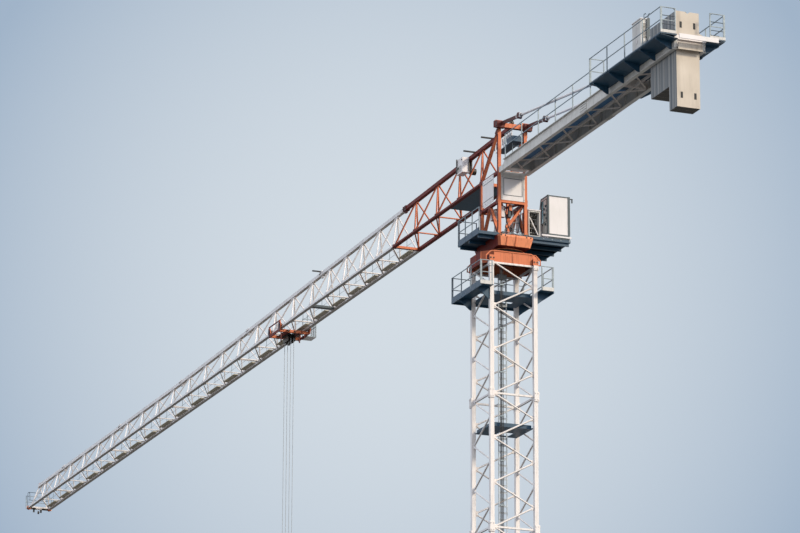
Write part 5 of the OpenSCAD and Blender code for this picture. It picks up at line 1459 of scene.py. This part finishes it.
# %% End bar, hood and corbels
end_bar_x = min(END, plat_low.x) - 12
prisms("end_bar", "slewing_unit", panel_enamel,
       [block((end_bar_x, -SIDE - 46, BEAM_TOP - 20), (end_bar_x + 5, SIDE + 4, BEAM_TOP - 1))])
prisms("end_hood", "slewing_unit", concrete,
       [block((END - 10, 8 - SIDE, BEAM_LOW - 3), (END - 6, SIDE - 8, BEAM_TOP - 23))])
corbel = [(END - 7, BEAM_LOW + 38), (END, BEAM_LOW + 38), (END, BEAM_LOW + 6)]
prisms("end_corbels", "slewing_unit", grey_enamel, [plate_xz(corbel, s * SIDE - 7, 14) for s in SIDES])
print("end bar at", round(end_bar_x))

# %% Cable tray
tray_x0, tray_x1 = walkdeck_low.x - 60, walkdeck_high.x - 20
prisms("cable_tray", "slewing_unit", zinc,
       [block((tray_x0, SIDE - 14, BEAM_LOW + 8), (tray_x1, SIDE - 2, BEAM_LOW + 10))])
tubes("tray_cables", "slewing_unit", rubber,
      [[(x, SIDE - y, BEAM_LOW + 12) for x in (tray_x0 + 4, tray_x1 - 4)] for y in (4.5, 8, 11.5)], 1.5)
print("cable tray", round(tray_x1 - tray_x0), "mm long")

# %% [markdown]
# ## Gates beside the slabs
# Where the rear platforms end beside the slabs, a bent pipe closes each of them with two
# straight rails. The pipe is two short paths with bends, so the tube tree draws it and the
# rails as one piece.

# %% Pipe loops of the gates
GATE_H, GATE_FOOT = 106, 14
gate_x = plat_low.x + 2
gates = []
for s in SIDES:
    y0, y1 = s * (BEAM_OUT + 6), s * (BEAM_OUT + 46)
    gates.append([(gate_x, y0, PLAT_TOP + 20), (gate_x, y0, PLAT_TOP + GATE_H - 8),
                  (gate_x, y0 + 8 * s, PLAT_TOP + GATE_H), (gate_x, y1, PLAT_TOP + GATE_H)])
    gates.append([(gate_x, y0, PLAT_TOP + 20), (gate_x, y0 + 6 * s, PLAT_TOP + GATE_FOOT),
                  (gate_x, y1, PLAT_TOP + GATE_FOOT)])
    gates += [[(gate_x, y0, PLAT_TOP + level), (gate_x, y1 + 20 * s, PLAT_TOP + level)] for level in (36, 72)]
tubes("rear_gate_loops", "slewing_unit", slate_enamel, gates, 1.7)
print("gate pipes", len(gates))

# %% [markdown]
# ## Ties
# Two steel ties carry the counter-jib from the turret head. Each has a link with two pins, a
# round knot between them and nuts on its bar. They lie on one slanted line, so every place
# is a distance along that line.

# %% Knots, nuts and pins of the ties
JOINT_ALONG = 185
tie_low = corners("tie_bars")[0]
head_point, foot_point = Vector((PIN_X, 0, TOP)), Vector((tie_low.x + 8, 0, BEAM_TOP + 16))
along = (foot_point - head_point).normalized()
joint = head_point + along * JOINT_ALONG
knots, nuts, pins = [], [], []
for s in SIDES:
    side = Vector((0, s * SIDE, 0))
    knots.append(disc(joint + along * 22 + side - Vector((0, 9, 0)), (0, 1, 0), 14, 18, 24))
    nuts.append(disc(joint + along * 45 + side, along, 8, 7, 6))
    nuts.append(disc(foot_point - along * 46 + side, along, 8, 6, 6))
    for t in SIDES:
        pins += [(place + side + Vector((0, t * 8, 0)), (0, t, 0))
                 for place in (foot_point, joint + along * 12, joint + along * 33)]
prisms("tie_knots", "slewing_unit", oxide_enamel, knots)
prisms("tie_nuts", "slewing_unit", greased_steel, nuts)
bolts("tie_pins", "slewing_unit", greased_steel, pins, head=3.6, height=2.2)
print("tie pins", len(pins))

# %% [markdown]
# ## Hoist winch
# The drum is wound with rope, one turn beside the other. A curve with a spiral primitive
# could draw it, but a path from one formula keeps the pitch equal to the rope's own size, so
# it goes through the tube tree. A motor, a gearbox and a brake stand on the same sills.

# %% Winch windings
WINDINGS, PER_TURN, WIND_PITCH, WIND_R = 20, 24, 3.1, 35.4
winch_low, winch_high = corners("hoist_winch")
drum = Vector(((winch_low.x + winch_high.x) / 2, -14, winch_high.z - 46))
coil = []
for k in range(WINDINGS * PER_TURN + 1):
    angle = math.tau * k / PER_TURN
    coil.append(drum + Vector((WIND_R * math.cos(angle), -31 + WIND_PITCH * k / PER_TURN,
                               WIND_R * math.sin(angle))))
tubes("winch_rope", "slewing_unit", wire_rope, [coil], 1.5, 6)
print("rope turns", WINDINGS)

# %% Winch motor, gearbox and spokes
SPOKES, SPOKE_MID, FLANGE_Y = 8, 24, 36.4
prisms("winch_motor", "slewing_unit", grey_enamel,
       [disc(drum + Vector((14, 44, -28)), (0, 1, 0), 15, 22, 24),
        block((drum.x - 22, drum.y - 54, BEAM_TOP + 10), (drum.x + 22, drum.y - 44, drum.z + 12)),
        disc(drum - Vector((0, 44, 0)), (0, -1, 0), 12, 14, 24)])
spokes = []
for k in range(SPOKES):
    angle = math.tau * k / SPOKES
    out = Vector((math.cos(angle), 0, math.sin(angle)))
    spokes += [(drum + out * SPOKE_MID + Vector((0, s * FLANGE_Y, 0)), out) for s in SIDES]
slats("winch_spokes", "slewing_unit", grey_enamel, spokes, (34, 3, 4))
print("winch spokes", len(spokes))

# %% [markdown]
# ## Winch cabinet
# The cabinet beside the winch is a plain sheet box. A lid, a door gap, a handle and rows of
# vents give it its scale. The vents are slats that stand a little proud of it, and two
# lifting hooks are bent tubes.

# %% Winch cabinet trim and vents
CABINET_OFF, CABINET_W, CABINET_H = 91, 82, 193
low = Vector((slab_front_x + CABINET_OFF, 22, BEAM_TOP + 3))
high = Vector((low.x + CABINET_W, 50, BEAM_TOP + CABINET_H))
prisms("cabinet_trim", "slewing_unit", panel_enamel,
       [block((low.x - 3, low.y - 3, high.z), (high.x + 3, high.y + 3, high.z + 3)),
        block((low.x + 40, high.y, low.z + 8), (low.x + 41.4, high.y + 1.2, high.z - 6)),
        block((low.x + 34, high.y, low.z + 92), (low.x + 36.5, high.y + 4, low.z + 108))])
side_vents = [((low.x + 20, high.y + 0.6, z), (1, 0, 0)) for z in steps(low.z + 20, low.z + 60, 5)]
slats("cabinet_vents", "slewing_unit", greased_steel, side_vents, (28, 1.6, 2.0))
rear_vents = [((low.x - 0.6, (low.y + high.y) / 2, z), (0, 1, 0)) for z in steps(low.z + 110, high.z - 20, 6)]
slats("cabinet_rear_vents", "slewing_unit", greased_steel, rear_vents, (20, 1.6, 2.0))
print("cabinet at", round(low.x), "vents", len(side_vents) + len(rear_vents))

# %% Winch cabinet post and hooks
prisms("cabinet_post", "slewing_unit", slate_enamel,
       [block((low.x - 4, low.y - 12, low.z), (low.x + 6, low.y - 1, high.z + 6)),
        block((low.x - 6, low.y - 2, low.z), (low.x - 3, low.y + 3, high.z))])
hooks = [[(x, y, high.z), (x, y, high.z + 22), (x - 6, y - 3, high.z + 27), (x - 9, y - 5, high.z + 22)]
         for x, y in ((low.x + 10, low.y + 8), (low.x + 4, low.y - 8))]
tubes("cabinet_hooks", "slewing_unit", slate_enamel, hooks, 1.6)
print("cabinet hooks", len(hooks))

# %% [markdown]
# ## Counterweight
# Concrete slabs hang in a row on the beams. Every slab has a lifting loop in its notch, and
# tie rods through the ears hold the row. The loops are bent bars, so each is a path of seven
# points. The slots in the outer slab are dark inside, which thin black blocks on its face show
# as painted shade.

# %% Slab loops
short_high = corners("counterweight_short")[1]
long_low, long_high = corners("counterweight_long")
SHORT_PITCH, LONG_PITCH, SHORT_COUNT, LONG_COUNT = 42.5, 36, 4, 2
slab_mids = [short_high.x - 0.5 - (k + 0.5) * SHORT_PITCH for k in range(SHORT_COUNT)]
slab_mids += [long_high.x - 0.5 - (k + 0.5) * LONG_PITCH for k in range(LONG_COUNT)]
notch_z = short_high.z - 9
bend = [(-5, 0), (-5, 9), (-3, 13), (0, 14), (3, 13), (5, 9), (5, 0)]
tubes("slab_loops", "slewing_unit", zinc, [[(x, y, notch_z + up) for y, up in bend] for x in slab_mids], 1.5)
print("slab loops", len(slab_mids))

# %% Painted slot shade and tie rods
ROD_Y, ROD_LIFT = 57, 14
slots = [(y, z) for y in (-30, 30) for z in (long_high.z - 57, long_low.z + 50)]
# Thin black blocks on the outer slab's face: painted shade of its slot holes.
prisms("slab_slot_liners", "slewing_unit", rubber,
       [block((long_low.x - 0.6, y - 5, z - 13), (long_low.x + 2, y + 5, z + 13)) for y, z in slots])
rod_z = BEAM_TOP + ROD_LIFT
tubes("slab_tie_rods", "slewing_unit", zinc,
      [[(long_low.x - 8, s * ROD_Y, rod_z), (short_high.x + 8, s * ROD_Y, rod_z)] for s in SIDES], 2.4)
rod_nuts = [((x, s * ROD_Y, rod_z), (t, 0, 0)) for s in SIDES
            for x, t in ((long_low.x - 1, -1), (short_high.x, 1))]
bolts("slab_rod_nuts", "slewing_unit", greased_steel, rod_nuts, head=5.0, height=4.0)
print("slots", len(slots), "rod nuts", len(rod_nuts))

# %% [markdown]
# ## Trolley
# The trolley is an orange frame with four wheels on the bottom chords. Axle nuts, hubs and
# covers go on its sides, hangers and rope anchors under its cross beams, and dark stays
# brace it. They could be children of the frame object. Instead each is tied to the trolley's
# body, which is what the export and the poses read.

# %% Wheel nuts, covers and hubs
WHEEL_OFF = 75
frame_low, frame_high = corners("trolley_frame")
wheels_low, wheels_high = corners("trolley_wheels")
TROLLEY, rail_side = (frame_low.x + frame_high.x) / 2, frame_high.y
wheel_z = (wheels_low.z + wheels_high.z) / 2
axle_nuts, covers, hubs = [], [], []
for x in (TROLLEY - WHEEL_OFF, TROLLEY + WHEEL_OFF):
    for s in SIDES:
        axle = (x, s * rail_side, wheel_z)
        axle_nuts.append((axle, (0, s, 0)))
        covers.append(block((x - 10, s * (rail_side - 4), wheel_z + 10),
                            (x + 10, s * (rail_side + 1), wheel_z + 16)))
        hubs.append(disc(axle, (0, s, 0), 8, 2.4, 20))
        hubs.append(block((x - 5, s * rail_side, wheel_z - 30), (x + 5, s * (rail_side + 2), wheel_z - 4)))
bolts("axle_nuts", "trolley", greased_steel, axle_nuts, head=4.2, height=3.2)
prisms("wheel_covers", "trolley", orange_enamel, covers)
prisms("wheel_hubs", "trolley", slate_enamel, hubs)
print("axle nuts", len(axle_nuts), "hubs", len(hubs))

# %% Hangers, bolts and rope anchors
cross_z = CHORD - 12.5
hangers = [block((TROLLEY + x, y, cross_z - drop), (TROLLEY + x + 5, y + 5, cross_z - 13))
           for x, y, drop in ((-70, 66, 58), (58, 20, 34), (-66, -34, 62), (-70, -60, 34))]
hangers += [block((TROLLEY - 72, s * 40 - 3, cross_z - 8), (TROLLEY + 72, s * 40 + 3, cross_z - 4))
            for s in SIDES]
prisms("trolley_buffers", "trolley", oxide_enamel, hangers)
frame_bolts = [((TROLLEY + x, y, cross_z), UP) for x in (-63, 63) for y in (-60, -45, 45, 60)]
bolts("trolley_frame_bolts", "trolley", greased_steel, frame_bolts, head=2.0, height=1.4)
anchors = [disc((TROLLEY + x, y, cross_z - 10), (0, 1, 0), 5, 8, 16) for x in (-80, 72) for y in (-4, 30)]
anchors += [block((TROLLEY - 66, y - 2, cross_z - 12), (TROLLEY + 66, y + 2, cross_z - 3)) for y in (-12, 12)]
prisms("trolley_anchors", "trolley", greased_steel, anchors)
print("hangers", len(hangers), "anchors", len(anchors))

# %% Stays and apron
stays = []
for t in SIDES:
    stays.append([(TROLLEY + WHEEL_OFF * t, rail_side - 4, cross_z - 3), (TROLLEY + 44 * t, 24, cross_z - 5)])
    stays.append([(TROLLEY + 72 * t, 60, cross_z - 4), (TROLLEY - 30 * t, -40, cross_z - 9)])
tubes("trolley_stays", "trolley", rubber, stays, 2.6)
prisms("trolley_apron", "trolley", rubber,
       [block((TROLLEY - 44, -18, cross_z - 16), (TROLLEY + 44, 26, cross_z - 13))])
print("stays", len(stays))

# %% [markdown]
# ## Maintenance basket
# Beside the trolley hangs a basket of wire mesh with a light floor. A mesh image with
# holes would vanish in the exported model, so the wires are thin tubes with five sides.

# %% Basket mesh, floor and bars
MESH_PITCH = 9
basket_low, basket_high = corners("trolley_basket")
mesh_y = basket_low.y + 2
mesh = [[(basket_low.x + 1.5, mesh_y, z), (basket_high.x - 1.5, mesh_y, z)]
        for z in steps(basket_low.z + 8, basket_high.z - 4, MESH_PITCH)]
mesh += [[(x, mesh_y, basket_low.z + 3), (x, mesh_y, basket_high.z - 2)]
         for x in steps(basket_low.x + 4, basket_high.x - 4, MESH_PITCH)]
tubes("basket_mesh", "trolley", zinc, mesh, 0.6, 5)
prisms("basket_floor", "trolley", panel_enamel,
       [block((basket_low.x + 1, basket_low.y + 1, basket_low.z - 0.8),
              (basket_high.x - 1, basket_high.y - 1, basket_low.z + 0.4))])
basket_y = (basket_low.y + basket_high.y) / 2
slats("basket_bars", "trolley", zinc,
      [((x, basket_y, basket_low.z + 3.8), (0, 1, 0)) for x in steps(basket_low.x + 5, basket_high.x - 5, 8)],
      (44, 1.6, 1.8))
print("mesh wires", len(mesh))

# %% [markdown]
# ## Hook block
# The block's cheek plates are bolted over its sheaves, the swivel has a nut, and the hook a
# safety latch that keeps a sling from slipping out. The bolts go in one pattern on both
# cheeks, and the latch is a single short bar.

# %% Hook block fittings
CHEEK_Y, CHEEK_T = 16.5, 3
block_z = corners("hoist_ropes")[0].z
cheek_pattern = ((-45, -2), (45, -2), (-25, -2), (25, -2), (-16, -38), (16, -38), (0, -30))
cheek_bolts = [((TROLLEY + x, s * CHEEK_Y, block_z + z), (0, s, 0)) for s in SIDES for x, z in cheek_pattern]
bolts("cheek_bolts", "trolley", greased_steel, cheek_bolts, head=2.6, height=1.8)
collars = [disc((TROLLEY, 0, block_z - 64), UP, 11, 5, 24), disc((TROLLEY, 0, block_z - 76), UP, 9, 5, 24)]
collars += [block((TROLLEY - 30, s * CHEEK_Y, block_z - 46),
                  (TROLLEY + 30, s * (CHEEK_Y + CHEEK_T), block_z - 14)) for s in SIDES]
prisms("hook_collars", "trolley", greased_steel, collars)
tubes("hook_latch", "trolley", zinc, [[(TROLLEY - 4, 0, block_z - 82), (TROLLEY - 14, 0, block_z - 98)]], 1.6)
print("trolley at", round(TROLLEY), "hook block at", round(block_z))

print("pieces", len(made_faces), "faces", sum(made_faces.values()))
